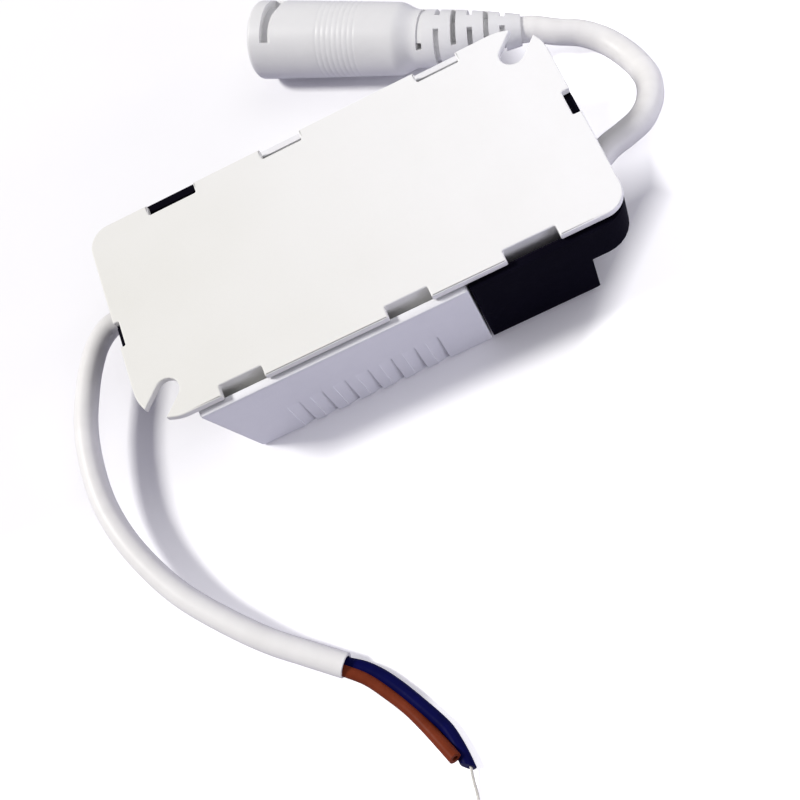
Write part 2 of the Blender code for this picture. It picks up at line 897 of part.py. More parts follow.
def connector_profile():
    """The outside of the barrel, its shoulder and the relief, from the open end."""
    profile = []
    for i in range(5):
        angle = math.radians(90 * i / 4)
        inset = barrel_rim_round * (1 - math.sin(angle))
        profile.append((barrel_rim_round * (1 - math.cos(angle)), barrel_radius - inset))
    for i in range(grip_ring_count):
        start = grip_ring_start + i * grip_ring_pitch
        for place in (start - grip_ring_pitch / 4, start, start + grip_ring_pitch / 4):
            depth = grip_ring_depth if place == start else 0
            profile.append((place, barrel_radius_at(place) - depth))
    shoulder_radius = barrel_radius_at(barrel_length)
    for i in range(5):
        share = i / 4
        ease = 0.5 - 0.5 * math.cos(math.pi * share)
        radius = shoulder_radius + (relief_start_radius - shoulder_radius) * ease
        profile.append((barrel_length + shoulder_length * share, radius))
    for i in range(1, 10):
        share = i / 9
        distance = barrel_length + shoulder_length + relief_length * share
        profile.append((distance, relief_radius(share)))
    return profile


def relief_windows():
    """Two windows in each groove of the relief: over the top and bottom, then at both sides, and so on."""
    windows = []
    start = barrel_length + shoulder_length + relief_first_groove
    pitch = (relief_length - relief_plain_end) / relief_groove_count
    core = min(relief_core_radius, relief_end_radius - clearance)
    for i in range(relief_groove_count):
        low = start + i * pitch
        span = (low, low + relief_groove_width)
        middle_degrees, half_degrees = (90, 54) if i % 2 == 0 else (0, 73)
        for half in (0, 1):
            middle = math.radians(middle_degrees + 180 * half)
            angles = [middle + math.radians(half_degrees) * (step / 4 - 1) for step in range(9)]
            windows.append(arc_cutter(f"window {i} {half}", angles, [span] * len(angles), core, barrel_radius))
    return windows


def locking_groove():
    """The groove near the open end: its floor ramps up towards the cord, and it widens over the top."""
    shape = bmesh.new()
    sections = []
    steps = 8
    inner, outer = barrel_radius - locking_groove_depth, barrel_radius + wall
    for step in range(steps + 1):
        share = step / steps
        angle = math.radians(50 + 100 * share)
        spread = max(0.0, share - 0.25) / 0.75
        width = locking_groove_width + (locking_groove_widest - locking_groove_width) * spread
        start, end = locking_groove_start, locking_groove_start + width
        flat = start + 0.45 * width
        corners = ((start, inner), (flat, inner), (end, barrel_radius_at(end)), (end, outer), (start, outer))
        sections.append([shape.verts.new(point_round(at, radius, angle)) for at, radius in corners])
    for first, second in zip(sections, sections[1:]):
        count = len(first)
        for i in range(count):
            following = (i + 1) % count
            shape.faces.new((first[i], first[following], second[following], second[i]))
    shape.faces.new(reversed(sections[0]))
    shape.faces.new(sections[-1])
    return finish_mesh("locking groove", shape)


def make_connector(materials):
    body = turned_body("connector_body", connector_profile(), 32, materials["moulding"])
    bore_profile = (
        (-wall, socket_bore_radius + socket_flare),
        (socket_mouth, socket_bore_radius + socket_flare / 2),
        (socket_mouth + socket_flare / 2, socket_bore_radius),
        (socket_depth, socket_bore_radius),
    )
    cut(body, turned_body("socket bore", bore_profile, 32), locking_groove(), *relief_windows())
    smooth(body)
    back = socket_depth - clearance
    sleeve_outer = socket_bore_radius - clearance
    sleeve_inner = sleeve_outer - sleeve_wall
    insulator_radius = sleeve_inner - clearance
    insulator_profile = ((back - insulator_thickness, insulator_radius), (back, insulator_radius))
    insulator = turned_body("connector_insulator", insulator_profile, 24, materials["black"])
    pin_end = back - insulator_thickness / 4
    pin_hole = ((socket_mouth, pin_radius + clearance), (pin_end + clearance, pin_radius + clearance))
    cut(insulator, turned_body("pin hole", pin_hole, 16))
    smooth(insulator)
    sleeve_profile = ((socket_mouth + wall, sleeve_outer), (back, sleeve_outer))
    sleeve = turned_body("connector_sleeve", sleeve_profile, 24, materials["metal"])
    cut(sleeve, turned_body("sleeve bore", ((0, sleeve_inner), (barrel_length, sleeve_inner)), 24))
    smooth(sleeve)
    tip = socket_mouth + wall + 1.0 * mm
    pin_profile = ((tip, pin_tip), (tip + pin_tip, pin_radius), (pin_end, pin_radius))
    smooth(turned_body("connector_pin", pin_profile, 16, materials["metal"]))


# Circuit board and its components, which hang from it towards the lid


def board_outline():
    cut_y = pocket_y + partition + clearance
    half = (
        (-board_half_length, -board_half_width),
        (board_cut_x, -board_half_width),
        (board_cut_x, cut_y),
        (board_half_length, cut_y),
    )
    return half + tuple((-x, -y) for x, y in half)


def make_board(material):
    prism("circuit_board", board_outline(), board_underside, board_underside + board_thickness, material)


def on_board(place):
    """A component's place, from its shares of the board's half length and half width."""
    x, y = place
    return x * board_half_length, y * board_half_width


def hanging_box(name, place, size, height, material, bevel=component_bevel):
    x, y = on_board(place)
    made = box(name, (x, x + size[0]), (y, y + size[1]), (seat_z - height, seat_z), material)
    add_bevel(made, bevel)
    return made


def lying_rod(name, place, length, radius, along, material):
    """A round component that lies under the board, along the driver's X or Y axis."""
    x, y = on_board(place)
    z = seat_z - radius
    end = (x + length, y, z) if along == "x" else (x, y + length, z)
    return smooth(rod(name, (x, y, z), end, radius, material))


def hanging_can(name, place, radius, height, material):
    """A can that stands on the board, with a groove rolled in near its board end."""
    x, y = on_board(place)
    groove_z = seat_z - can_groove_drop
    half = can_groove_width / 2
    can = rod(name, (x, y, seat_z - height), (x, y, seat_z), radius, material)
    ring = rod(name + " groove", (x, y, groove_z - half), (x, y, groove_z + half), radius + wall)
    core = rod(name + " neck", (x, y, groove_z - wall), (x, y, groove_z + wall), radius - can_groove_depth)
    cut(ring, core)
    cut(can, ring)
    return smooth(can)


def make_transformer(materials):
    x, y = on_board(transformer_place)
    half_core, half_thick = transformer_width / 2, transformer_thickness / 2
    low, high = seat_z - transformer_height, seat_z
    yoke = transformer_yoke
    core_x, core_y = (x - half_thick, x + half_thick), (y - half_core, y + half_core)
    core = box("transformer_core", core_x, core_y, (low, high), materials["ferrite"])
    for direction in (-1, 1):
        ends = sorted((y + direction * transformer_leg / 2, y + direction * (half_core - yoke)))
        window = box(f"window {direction}", (x - beyond, x + beyond), ends, (low + yoke, high - yoke))
        cut(core, window)
    inner_x, inner_y = half_thick + clearance, transformer_leg / 2 + clearance
    winding = half_core - yoke - transformer_leg / 2 - 2 * clearance
    outer_x, outer_y = inner_x + winding, inner_y + winding
    coil_z = (low + yoke + clearance, high - yoke - clearance)
    coil_x, coil_y = (x - outer_x, x + outer_x), (y - outer_y, y + outer_y)
    coil = box("transformer_coil", coil_x, coil_y, coil_z, materials["tape"])
    add_bevel(coil, coil_bevel)
    hole = box("coil hole", (x - inner_x, x + inner_x), (y - inner_y, y + inner_y), (0, driver_height))
    cut(coil, hole)


def make_inductor(materials):
    """A drum: a wound waist between two flanges."""
    x, y = on_board(inductor_place)
    low, high = seat_z - inductor_height, seat_z
    drum = rod("filter_inductor", (x, y, low), (x, y, high), inductor_radius, materials["ferrite"])
    band_ends = (x, y, low + inductor_flange), (x, y, high - inductor_flange)
    band = rod("drum band", *band_ends, inductor_radius + wall)
    waist = rod("drum waist", (x, y, 0), (x, y, driver_height), inductor_radius - inductor_waist)
    cut(band, waist)
    cut(drum, band)
    smooth(drum)


def make_components(materials):
    make_board(materials["board"])
    make_transformer(materials)
    make_inductor(materials)
    lying_rod("fuse", fuse_place, fuse_length, fuse_radius, "y", materials["fuse"])
    lying_rod("varistor", varistor_place, varistor_thickness, varistor_radius, "x", materials["blue"])
    lying_rod("bulk_capacitor", bulk_place, bulk_length, bulk_radius, "y", materials["can"])
    lying_rod("output_diode", diode_place, diode_length, diode_radius, "x", materials["black"])
    hanging_box("filter_capacitor", film_place, film_size, film_height, materials["film"])
    hanging_box("bridge_rectifier", bridge_place, bridge_size, bridge_height, materials["black"])
    hanging_box("controller_chip", chip_place, chip_size, chip_height, materials["black"])
    hanging_can("output_capacitor", can_place, can_radius, can_height, materials["can"])


def make_materials():
    return {
        "plate": make_material("plate plastic", (0.86, 0.85, 0.82), 0.45),
        "case": make_material("case plastic", (0.82, 0.82, 0.82), 0.45),
        "black": make_material("black plastic", (0.012, 0.012, 0.018), 0.42),
        "sheath": make_material("white sheath", (0.84, 0.83, 0.80), 0.4),
        "moulding": make_material("connector moulding", (0.80, 0.80, 0.79), 0.35),
        "brown": make_material("brown insulation", (0.26, 0.07, 0.02), 0.4),
        "blue": make_material("blue insulation", (0.01, 0.01, 0.16), 0.4),
        "tin": make_material("tinned wire", (0.75, 0.74, 0.72), 0.3, 1.0),
        "metal": make_material("nickel plate", (0.72, 0.70, 0.66), 0.28, 1.0),
        "steel": make_material("screw steel", (0.55, 0.55, 0.56), 0.35, 1.0),
        "board": make_material("board", (0.10, 0.22, 0.07), 0.5),
        "ferrite": make_material("ferrite", (0.03, 0.03, 0.035), 0.6),
        "tape": make_material("coil tape", (0.72, 0.52, 0.08), 0.5),
        "fuse": make_material("fuse body", (0.35, 0.12, 0.06), 0.4),
        "film": make_material("film capacitor case", (0.75, 0.55, 0.06), 0.4),
        "can": make_material("capacitor sleeve", (0.02, 0.03, 0.05), 0.35),
        "terminal": make_material("terminal block", (0.05, 0.22, 0.10), 0.45),
    }


def main():
    clear_scene()
    materials = make_materials()
    make_base_plate(materials["plate"])
    make_housing(materials["case"])
    sides = (("input", input_cord_diameter), ("output", output_cord_diameter))
    for side, cord_diameter in sides:
        make_cover(side, cord_diameter, materials["black"])
        make_clamp(side, cord_diameter, materials["black"])
        for index in (0, 1):
            make_clamp_screw(side, index, cord_diameter, materials["steel"])
        make_terminal_block(side, materials["terminal"])
    make_lead("input_neutral_lead", "input", 0, materials["blue"])
    make_lead("input_live_lead", "input", 1, materials["brown"])
    make_lead("output_negative_lead", "output", 0, materials["black"])
    make_lead("output_positive_lead", "output", 1, materials["fuse"])
    make_components(materials)
    make_cords(materials)
    make_connector(materials)


main()
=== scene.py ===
# %% [markdown]
# # An LED driver, lying on its lid
#
# This lesson builds the looks of a small lighting driver round its imported CAD parts. The driver lies
# upside down: its flat lid is on the table and its white base plate faces up. A mains cord with two bare
# cores leaves the left end, and an output cord with a moulded DC socket leaves the right end.
#
# The first cell loads the CAD frame: the parts from model.glb, laid in place, and the record from
# model.json.

import json
import math

import bpy
from mathutils import Matrix, Vector


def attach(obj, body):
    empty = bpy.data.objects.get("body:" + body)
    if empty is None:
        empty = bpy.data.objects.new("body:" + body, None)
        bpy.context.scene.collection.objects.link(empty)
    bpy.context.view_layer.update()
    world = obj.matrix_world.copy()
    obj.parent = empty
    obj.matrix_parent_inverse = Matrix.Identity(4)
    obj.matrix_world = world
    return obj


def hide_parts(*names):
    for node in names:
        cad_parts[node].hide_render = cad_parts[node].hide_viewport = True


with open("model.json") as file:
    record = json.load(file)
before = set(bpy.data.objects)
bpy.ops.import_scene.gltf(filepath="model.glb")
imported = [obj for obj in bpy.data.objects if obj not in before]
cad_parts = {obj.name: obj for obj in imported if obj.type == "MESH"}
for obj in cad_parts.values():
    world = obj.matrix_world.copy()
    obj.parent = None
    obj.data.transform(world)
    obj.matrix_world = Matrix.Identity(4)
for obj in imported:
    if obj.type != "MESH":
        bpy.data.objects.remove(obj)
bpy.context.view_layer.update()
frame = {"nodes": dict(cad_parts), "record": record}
mm = 0.001
print("CAD nodes:", len(frame["nodes"]))

# %% [markdown]
# ## Camera
#
# A camera is a place and three directions. These were solved from the picture of the driver: a base plate
# that is a true rectangle fixes the lens and the tilt. The lens is 56 mm on a 36 mm wide sensor, held
# about 23 cm away.

# %% Camera
camera_place = Vector((19.45, -117.26, 194.22)) * mm
camera_right = Vector((0.9007, -0.3378, -0.2734))
camera_up = Vector((0.4199, 0.8383, 0.3476))
camera_back = Vector((0.1118, -0.4279, 0.8969))


def new_object(name, data):
    """Puts a new object into the scene."""
    made = bpy.data.objects.new(name, data)
    bpy.context.scene.collection.objects.link(made)
    return made


camera_data = bpy.data.cameras.new("camera")
camera_data.sensor_width = 36
camera_data.lens = 56.25
camera_data.clip_start = 5 * mm
camera_data.clip_end = 20
camera = new_object("camera", camera_data)
turn = Matrix((camera_right, camera_up, camera_back)).transposed().to_4x4()
camera.matrix_world = Matrix.Translation(camera_place) @ turn
bpy.context.scene.camera = camera
print("camera at", [round(value, 3) for value in camera_place])

# %% [markdown]
# ## Selecting and finishing by code
#
# Blender's operators act on what is selected. These helpers deselect everything first, then select one
# object, and go in and out of edit mode. Faces and edges are picked there by a test on their place.

# %% Helpers for operators


def select_only(target):
    bpy.ops.object.select_all(action="DESELECT")
    target.select_set(True)
    bpy.context.view_layer.objects.active = target


def join(pieces, name):
    """Joins some objects into the first of them and names it."""
    select_only(pieces[0])
    for piece in pieces:
        piece.select_set(True)
    bpy.ops.object.join()
    pieces[0].name = name
    return pieces[0]


def edit_all(target):
    """Goes into edit mode with the whole mesh selected."""
    select_only(target)
    bpy.ops.object.mode_set(mode="EDIT")
    bpy.ops.mesh.select_mode(type="VERT")
    bpy.ops.mesh.select_all(action="SELECT")


def done():
    bpy.ops.object.mode_set(mode="OBJECT")


def pick(target, wanted):
    """Selects, in object mode, the vertices that pass the test, with the edges and faces between them."""
    mesh = target.data
    for vertex in mesh.vertices:
        vertex.select = bool(wanted(vertex.co))
    for edge in mesh.edges:
        edge.select = all(mesh.vertices[i].select for i in edge.vertices)
    for face in mesh.polygons:
        face.select = all(mesh.vertices[i].select for i in face.vertices)


def move_picked(target, wanted, offset):
    """Moves the vertices that pass the test."""
    pick(target, wanted)
    select_only(target)
    bpy.ops.object.mode_set(mode="EDIT")
    bpy.ops.transform.translate(value=offset)
    done()


def apply_modifiers(target):
    select_only(target)
    for modifier in list(target.modifiers):
        bpy.ops.object.modifier_apply(modifier=modifier.name)


def set_origin(target):
    """Puts the object's place and turn into its mesh, so that it sits at the origin, as a CAD node does."""
    select_only(target)
    bpy.ops.object.transform_apply(location=True, rotation=True, scale=True)


def face_outwards(target, merge_distance=0.002 * mm):
    """Merges doubled vertices and turns every face outwards."""
    edit_all(target)
    bpy.ops.mesh.remove_doubles(threshold=merge_distance)
    bpy.ops.mesh.normals_make_consistent(inside=False)
    done()


def shade(target, degrees=35):
    select_only(target)
    bpy.ops.object.shade_smooth_by_angle(angle=math.radians(degrees))


def keep_flats_flat(target, degrees=40):
    """Smooth shading in which large faces win, so that a rounded edge doesn't cloud the flat beside it."""
    shade(target, degrees)
    weighted = target.modifiers.new("weighted normals", "WEIGHTED_NORMAL")
    weighted.weight = 100
    weighted.keep_sharp = True
    apply_modifiers(target)


def boolean(target, tool, operation="DIFFERENCE"):
    """Cuts one closed mesh with another and deletes the tool."""
    modifier = target.modifiers.new("boolean", "BOOLEAN")
    modifier.operation = operation
    modifier.solver = "EXACT"
    modifier.object = tool
    apply_modifiers(target)
    bpy.data.objects.remove(tool)


def soften(target, width, segments=3, degrees=28):
    """Rounds every sharp edge, as a mould does, and keeps the flat faces flat."""
    bevel = target.modifiers.new("soft edges", "BEVEL")
    bevel.width = width
    bevel.segments = segments
    bevel.limit_method = "ANGLE"
    bevel.angle_limit = math.radians(degrees)
    bevel.use_clamp_overlap = True
    bevel.miter_outer = "MITER_ARC"
    apply_modifiers(target)


def merged_copy(node, name):
    """A copy of a CAD node with its loose triangles merged into whole flat faces."""
    made = new_object(name, frame["nodes"][node].data.copy())
    made.data.materials.clear()
    edit_all(made)
    bpy.ops.mesh.remove_doubles(threshold=0.01 * mm)
    bpy.ops.mesh.customdata_custom_splitnormals_clear()
    bpy.ops.mesh.dissolve_limited(angle_limit=math.radians(1.0))
    done()
    return made


# %% [markdown]
# ## Shader maths
#
# A material is a network of nodes. Writing each node by hand hides the idea, so a small class wraps a
# socket and lets Python's own operators add the Math nodes: `1 - mask * 0.3` reads as what it does.

# %% A socket that can be used in expressions


class Signal:
    """A number or colour that comes out of a node."""

    def __init__(self, finish, socket):
        self.finish, self.socket = finish, socket

    def math(self, operation, *others):
        inputs = {i: value for i, value in enumerate((self, *others))}
        return self.finish.node("ShaderNodeMath", {"operation": operation}, inputs)

    def __add__(self, other):
        return self.math("ADD", other)

    def __mul__(self, other):
        return self.math("MULTIPLY", other)

    def __sub__(self, other):
        return self.math("SUBTRACT", other)

    def __rsub__(self, other):
        return self.finish.node("ShaderNodeMath", {"operation": "SUBTRACT"}, {0: other, 1: self})

    __radd__ = __add__
    __rmul__ = __mul__


class Finish:
    """One material, with its Principled shader and the coordinates of the piece."""

    def __init__(self, name, colour, roughness, metallic=0.0):
        self.name = name
        self.material = bpy.data.materials.new(name)
        self.material.use_nodes = True
        self.tree = self.material.node_tree
        self.shader = self.tree.nodes["Principled BSDF"]
        self.material.diffuse_color = (*colour, 1.0)
        self.set("Base Color", (*colour, 1.0))
        self.set("Roughness", roughness)
        self.set("Metallic", metallic)
        self.place = self.node("ShaderNodeTexCoord", output="Object")

    def node(self, kind, settings=None, inputs=None, output=0):
        """Adds a node: its settings first, then the values or links of its sockets."""
        made = self.tree.nodes.new(kind)
        for name, value in (settings or {}).items():
            if name == "stops":
                self.fill_ramp(made.color_ramp, value)
            else:
                setattr(made, name, value)
        for name, value in (inputs or {}).items():
            self.connect(made.inputs[name], value)
        return Signal(self, made.outputs[output])

    def connect(self, socket, value):
        if isinstance(value, Signal):
            self.tree.links.new(value.socket, socket)
        else:
            socket.default_value = value

    def fill_ramp(self, ramp, stops):
        while len(ramp.elements) < len(stops):
            ramp.elements.new(0.5)
        for element, (place, colour) in zip(ramp.elements, stops):
            element.position = place
            element.color = (*colour, 1.0)

    def set(self, name, value):
        self.connect(self.shader.inputs[name], value)

    def noise(self, scale, detail, stretch=(1, 1, 1)):
        """Noise with features of about 1 / scale metres, drawn out along axes where stretch is small."""
        place = self.node("ShaderNodeMapping", None, {"Vector": self.place, "Scale": stretch})
        inputs = {"Vector": place, "Scale": scale, "Detail": detail}
        return self.node("ShaderNodeTexNoise", None, inputs)

    def axis(self, letter):
        return self.node("ShaderNodeSeparateXYZ", None, {"Vector": self.place}, "XYZ".index(letter))

    def spread(self, value, low, high):
        """Stretches a signal's part between low and high to the range from 0 to 1, and clamps the rest."""
        inputs = {"Value": value, "From Min": low, "From Max": high}
        return self.node("ShaderNodeMapRange", {"clamp": True}, inputs)

    def blend(self, share, first, second):
        """A colour between two others. The Mix node's colours are its inputs 6 and 7 and its output 2."""
        colours = [value if isinstance(value, Signal) else (*value, 1.0) for value in (first, second)]
        inputs = {0: share, 6: colours[0], 7: colours[1]}
        return self.node("ShaderNodeMix", {"data_type": "RGBA"}, inputs, 2)

    def relief(self, height, distance):
        """Bends the light as if the surface rose by the signal times the distance, in metres."""
        self.set("Normal", self.node("ShaderNodeBump", None, {"Height": height, "Distance": distance}))


def put_on(target, finish):
    target.data.materials.clear()
    target.data.materials.append(finish.material)


def dress(node, finish):
    """Gives a CAD node a finish, by its object's material slots."""
    for place in frame["nodes"][node].material_slots:
        place.material = finish.material


# %% [markdown]
# ## Moulded plastic
#
# Injection moulded plastic is never one flat colour. The mould's spark-eroded face leaves a fine grain,
# the melt cools unevenly and leaves broad, faint tone changes, and handling leaves a few soft rubs where
# it is glossier. All of the plastic finishes share these three layers at their own strengths. The plate
# also has painted shade: it is darker and yellower towards its left end, where less light falls.

# %% Moulded plastic finish


def moulded(name, colour, shade_colour, roughness, grain=0.02 * mm, grain_scale=3200, rub=0.08, gloss=0.5):
    """Plastic between two tones. The grain is its height, and its scale is in features per metre."""
    finish = Finish(name, colour, roughness)
    finish.set("Specular IOR Level", gloss)
    finish.broad = finish.spread(finish.noise(38, 2), 0.35, 0.65)
    finish.mottle = finish.spread(finish.noise(420, 3), 0.3, 0.7)
    fine = finish.noise(grain_scale, 3)
    finish.set("Base Color", finish.blend(finish.broad * 0.6 + finish.mottle * 0.25, colour, shade_colour))
    rubs = finish.spread(finish.noise(240, 4, (1, 0.25, 1)), 0.56, 0.68)
    finish.set("Roughness", roughness + finish.broad * 0.04 - rubs * rub)
    finish.relief(fine + finish.mottle * 0.35, grain)
    return finish


def plate_with_painted_falloff():
    """The plate's plastic, with painted shade: a wavy change along the plate from darker and yellower at
    the left end to brighter at the right end.
    """
    shade_colour, painted_dim_tone, painted_lit_tone = (0.80, 0.795, 0.775), (0.745, 0.74, 0.69), (0.90, 0.90, 0.895)
    finish = moulded("plate_plastic", (0.87, 0.865, 0.85), shade_colour, 0.52)
    along = finish.axis("X") + finish.axis("Y") * 0.35 + (finish.noise(45, 2) - 0.5) * (30 * mm)
    # Painted shade: darker and yellower towards the left end, where less light falls.
    falloff_colour = finish.blend(finish.spread(along, -42 * mm, 36 * mm), painted_dim_tone, painted_lit_tone)
    finish.set("Base Color", finish.blend(finish.mottle * 0.08 + finish.broad * 0.12, falloff_colour, shade_colour))
    return finish


plate_finish = plate_with_painted_falloff()
case_finish = moulded("case_plastic", (0.84, 0.84, 0.85), (0.78, 0.78, 0.80), 0.45)
black_finish = moulded(
    "black_plastic", (0.0018, 0.0015, 0.004), (0.0045, 0.004, 0.009), 0.42, 0.03 * mm, 2600, rub=0.1
)
black_finish.set("IOR", 1.06)
connector_finish = moulded(
    "white_moulding", (0.77, 0.77, 0.765), (0.72, 0.72, 0.72), 0.38, 0.008 * mm, 2400, rub=0.06, gloss=0.3
)
print("nodes of the plate's finish:", len(plate_finish.tree.nodes))

# %% [markdown]
# ## Cord sheaths and core insulation
#
# A cord is extruded through a die, which draws faint lines along it. The lines follow the cord as it
# bends, so they come from the tube's own UV map, where U goes round the cord and V runs along it.

# %% Extruded finishes


def extruded(name, colour, shade_colour, roughness, lines=26, gloss=0.3):
    """Soft plastic between two tones, with a number of drawn lines round it."""
    finish = Finish(name, colour, roughness)
    finish.set("Specular IOR Level", gloss)
    uv = finish.node("ShaderNodeUVMap", {"uv_map": "UVMap"})
    stretched = finish.node("ShaderNodeMapping", None, {"Vector": uv, "Scale": (lines, 1.5, 1)})
    noise = finish.node("ShaderNodeTexNoise", None, {"Vector": stretched, "Scale": 1.0, "Detail": 2.0})
    drawn = finish.spread(noise, 0.3, 0.7)
    cloud = finish.spread(finish.noise(160, 3), 0.32, 0.68)
    dust = finish.spread(finish.noise(1500, 2), 0.62, 0.72)
    finish.set("Base Color", finish.blend(drawn * 0.5 + cloud * 0.4, colour, shade_colour))
    finish.set("Roughness", roughness + cloud * 0.06 + dust * 0.1)
    finish.relief(drawn + dust * 0.4, 0.03 * mm)
    return finish


sheath_finish = extruded("white_sheath", (0.85, 0.84, 0.82), (0.77, 0.76, 0.74), 0.38)
brown_finish = extruded("brown_insulation", (0.19, 0.036, 0.014), (0.12, 0.019, 0.006), 0.4, 12, 0.4)
blue_finish = extruded("blue_insulation", (0.003, 0.0035, 0.062), (0.0015, 0.002, 0.032), 0.38, 12, 0.4)
brown_finish.set("IOR", 1.16)
blue_finish.set("IOR", 1.12)
red_finish = extruded("red_insulation", (0.42, 0.02, 0.018), (0.3, 0.012, 0.01), 0.36, 12)
black_wire_finish = extruded("black_insulation", (0.012, 0.012, 0.013), (0.022, 0.022, 0.024), 0.36, 12)
print("nodes of the sheath's finish:", len(sheath_finish.tree.nodes))

# %% [markdown]
# ## Metals, board and components
#
# Most of these pieces are hidden inside the case, but the part can be opened up in a viewer, so each has
# its real finish: plated metal with fine scratches, a glass-fibre board with a woven texture, striped
# sleeves and glossy dipped coatings.

# %% Metal and component finishes


def plated(name, colour, roughness, scratch_stretch=(1, 1, 1)):
    finish = Finish(name, colour, roughness, 1.0)
    scratches = finish.spread(finish.noise(1400, 4, scratch_stretch), 0.45, 0.7)
    dull = finish.spread(finish.noise(300, 3), 0.4, 0.65)
    finish.set("Base Color", finish.blend(dull, colour, [value * 0.8 for value in colour]))
    finish.set("Roughness", roughness + scratches * 0.12 + dull * 0.08)
    finish.relief(scratches, 0.01 * mm)
    return finish


def board_laminate():
    """Glass cloth under a green mask, with the copper areas showing a little paler."""
    green, copper_green = (0.035, 0.13, 0.03), (0.075, 0.22, 0.05)
    finish = Finish("board_laminate", green, 0.4)
    inputs = {"Vector": finish.place, "Scale": 400.0}
    across, along = (finish.node("ShaderNodeTexWave", {"bands_direction": axis}, inputs) for axis in "XY")
    weave = across.math("MAXIMUM", along)
    inputs = {"Vector": finish.place, "Scale": 160.0, "Randomness": 0.7}
    cells = finish.node("ShaderNodeTexVoronoi", {"distance": "MANHATTAN"}, inputs)
    tracks = finish.spread(cells, 0.30, 0.34)
    finish.set("Base Color", finish.blend(tracks, copper_green, green))
    finish.set("Roughness", 0.36 + weave * 0.08)
    finish.relief(weave * 0.3 + (1 - tracks), 0.03 * mm)
    return finish


def wound_tape():
    """Yellow film tape, wound in overlapping turns whose edges show as thin steps."""
    colour, edge_colour = (0.68, 0.46, 0.05), (0.42, 0.26, 0.02)
    finish = Finish("coil_tape", colour, 0.22)
    inputs = {"Vector": finish.place, "Scale": 90.0, "Distortion": 0.4}
    turns = finish.node("ShaderNodeTexWave", {"bands_direction": "Z", "wave_profile": "SAW"}, inputs)
    cloud = finish.spread(finish.noise(300, 3), 0.35, 0.65)
    edges = finish.spread(turns, 0.9, 1.0)
    finish.set("Base Color", finish.blend(edges * 0.8 + cloud * 0.2, colour, edge_colour))
    finish.set("Roughness", 0.2 + cloud * 0.12)
    finish.relief(turns, 0.05 * mm)
    return finish


def shrink_sleeve():
    """A dark sleeve with plain pale stripes and the fine wrinkles of shrinking."""
    colour, band = (0.012, 0.02, 0.05), (0.35, 0.36, 0.38)
    finish = Finish("can_sleeve", colour, 0.24)
    wrinkles = finish.spread(finish.noise(600, 3, (1, 1, 0.2)), 0.4, 0.65)
    stripe = finish.spread((finish.axis("X") * 900).math("SINE"), 0.93, 0.97)
    finish.set("Base Color", finish.blend(stripe * 0.8, colour, band))
    finish.set("Roughness", 0.2 + wrinkles * 0.15)
    finish.relief(wrinkles, 0.04 * mm)
    return finish


steel_finish = plated("screw_steel", (0.56, 0.56, 0.57), 0.3, (1, 1, 0.2))
tinned_finish = plated("tinned_copper", (0.62, 0.60, 0.57), 0.36)
nickel_finish = plated("nickel_plate", (0.72, 0.69, 0.63), 0.2, (0.3, 0.3, 1))
copper_finish = plated("bare_copper", (0.45, 0.18, 0.09), 0.4)
board_finish = board_laminate()
terminal_finish = moulded("terminal_plastic", (0.03, 0.17, 0.06), (0.02, 0.13, 0.045), 0.36)
fuse_finish = moulded("fuse_body", (0.30, 0.10, 0.05), (0.22, 0.07, 0.04), 0.3)
varistor_finish = moulded("varistor_coating", (0.015, 0.06, 0.28), (0.01, 0.04, 0.2), 0.22, 0.12 * mm, 900)
film_finish = moulded("film_case", (0.68, 0.47, 0.04), (0.6, 0.4, 0.03), 0.28)
ferrite_finish = moulded("ferrite", (0.028, 0.028, 0.032), (0.05, 0.05, 0.055), 0.55, 0.08 * mm, 1800)
chip_finish = moulded("chip_plastic", (0.012, 0.012, 0.014), (0.02, 0.02, 0.022), 0.5, 0.04 * mm, 2600)
sleeve_finish = shrink_sleeve()
tape_finish = wound_tape()
print("nodes of the board's finish:", len(board_finish.tree.nodes))

# %% [markdown]
# ## Dressing the CAD nodes
#
# A node whose shape is right keeps its mesh and gets its finish in its material slots. The record says
# which slot each node takes, and each finish has its slot's name, so one loop over the record dresses
# them all.

# %% Finishes by the record's slots
slot_finishes = (
    plate_finish, case_finish, black_finish, connector_finish,
    sheath_finish, brown_finish, blue_finish, red_finish, black_wire_finish,
    steel_finish, tinned_finish, nickel_finish, board_finish, terminal_finish, fuse_finish, varistor_finish,
    film_finish, ferrite_finish, chip_finish, sleeve_finish, tape_finish,
)
finishes = {finish.name: finish for finish in slot_finishes}
for subpart in frame["record"]["subparts"]:
    dress(subpart["node"], finishes[subpart["material_slot"]])

# %% [markdown]
# ## Cords
#
# A cord is one smooth curve with a round section. Its route is a short list of given points, and a
# Catmull-Rom curve runs through all of them. The curve is turned into a mesh, because its far end is
# then shaped: the cap is inset and pushed in, which leaves a sheath with a wall and a dark mouth.

# %% A smooth route through points


def smooth_route(points, steps):
    """Points along a centripetal Catmull-Rom curve through the given points."""
    points = [Vector(point) for point in points]
    padded = [2 * points[0] - points[1], *points, 2 * points[-1] - points[-2]]
    route = []
    for i in range(1, len(padded) - 2):
        four = padded[i - 1 : i + 3]
        knots = [0.0]
        for a, b in zip(four, four[1:]):
            knots.append(knots[-1] + math.sqrt((b - a).length))
        for step in range(steps):
            at = knots[1] + (knots[2] - knots[1]) * step / steps
            route.append(blend_four(four, knots, at))
    return [*route, points[-1]]


def blend_four(points, knots, at):
    """The place at parameter `at` on the curve through four points with these knots."""
    level = list(points)
    for reach in (1, 2):
        following = []
        for i in range(len(level) - 1):
            first, last = knots[i], knots[i + reach]
            share = (at - first) / (last - first)
            following.append(level[i] * (1 - share) + level[i + 1] * share)
        level = following
    share = (at - knots[1]) / (knots[2] - knots[1])
    return level[0] * (1 - share) + level[1] * share


def route_length(points):
    return sum((b - a).length for a, b in zip(points, points[1:]))


def last_direction(points):
    return (points[-1] - points[-2]).normalized()


def millimetres(rows):
    return [Vector(row) * mm for row in rows]


# %% A tube and its cut end


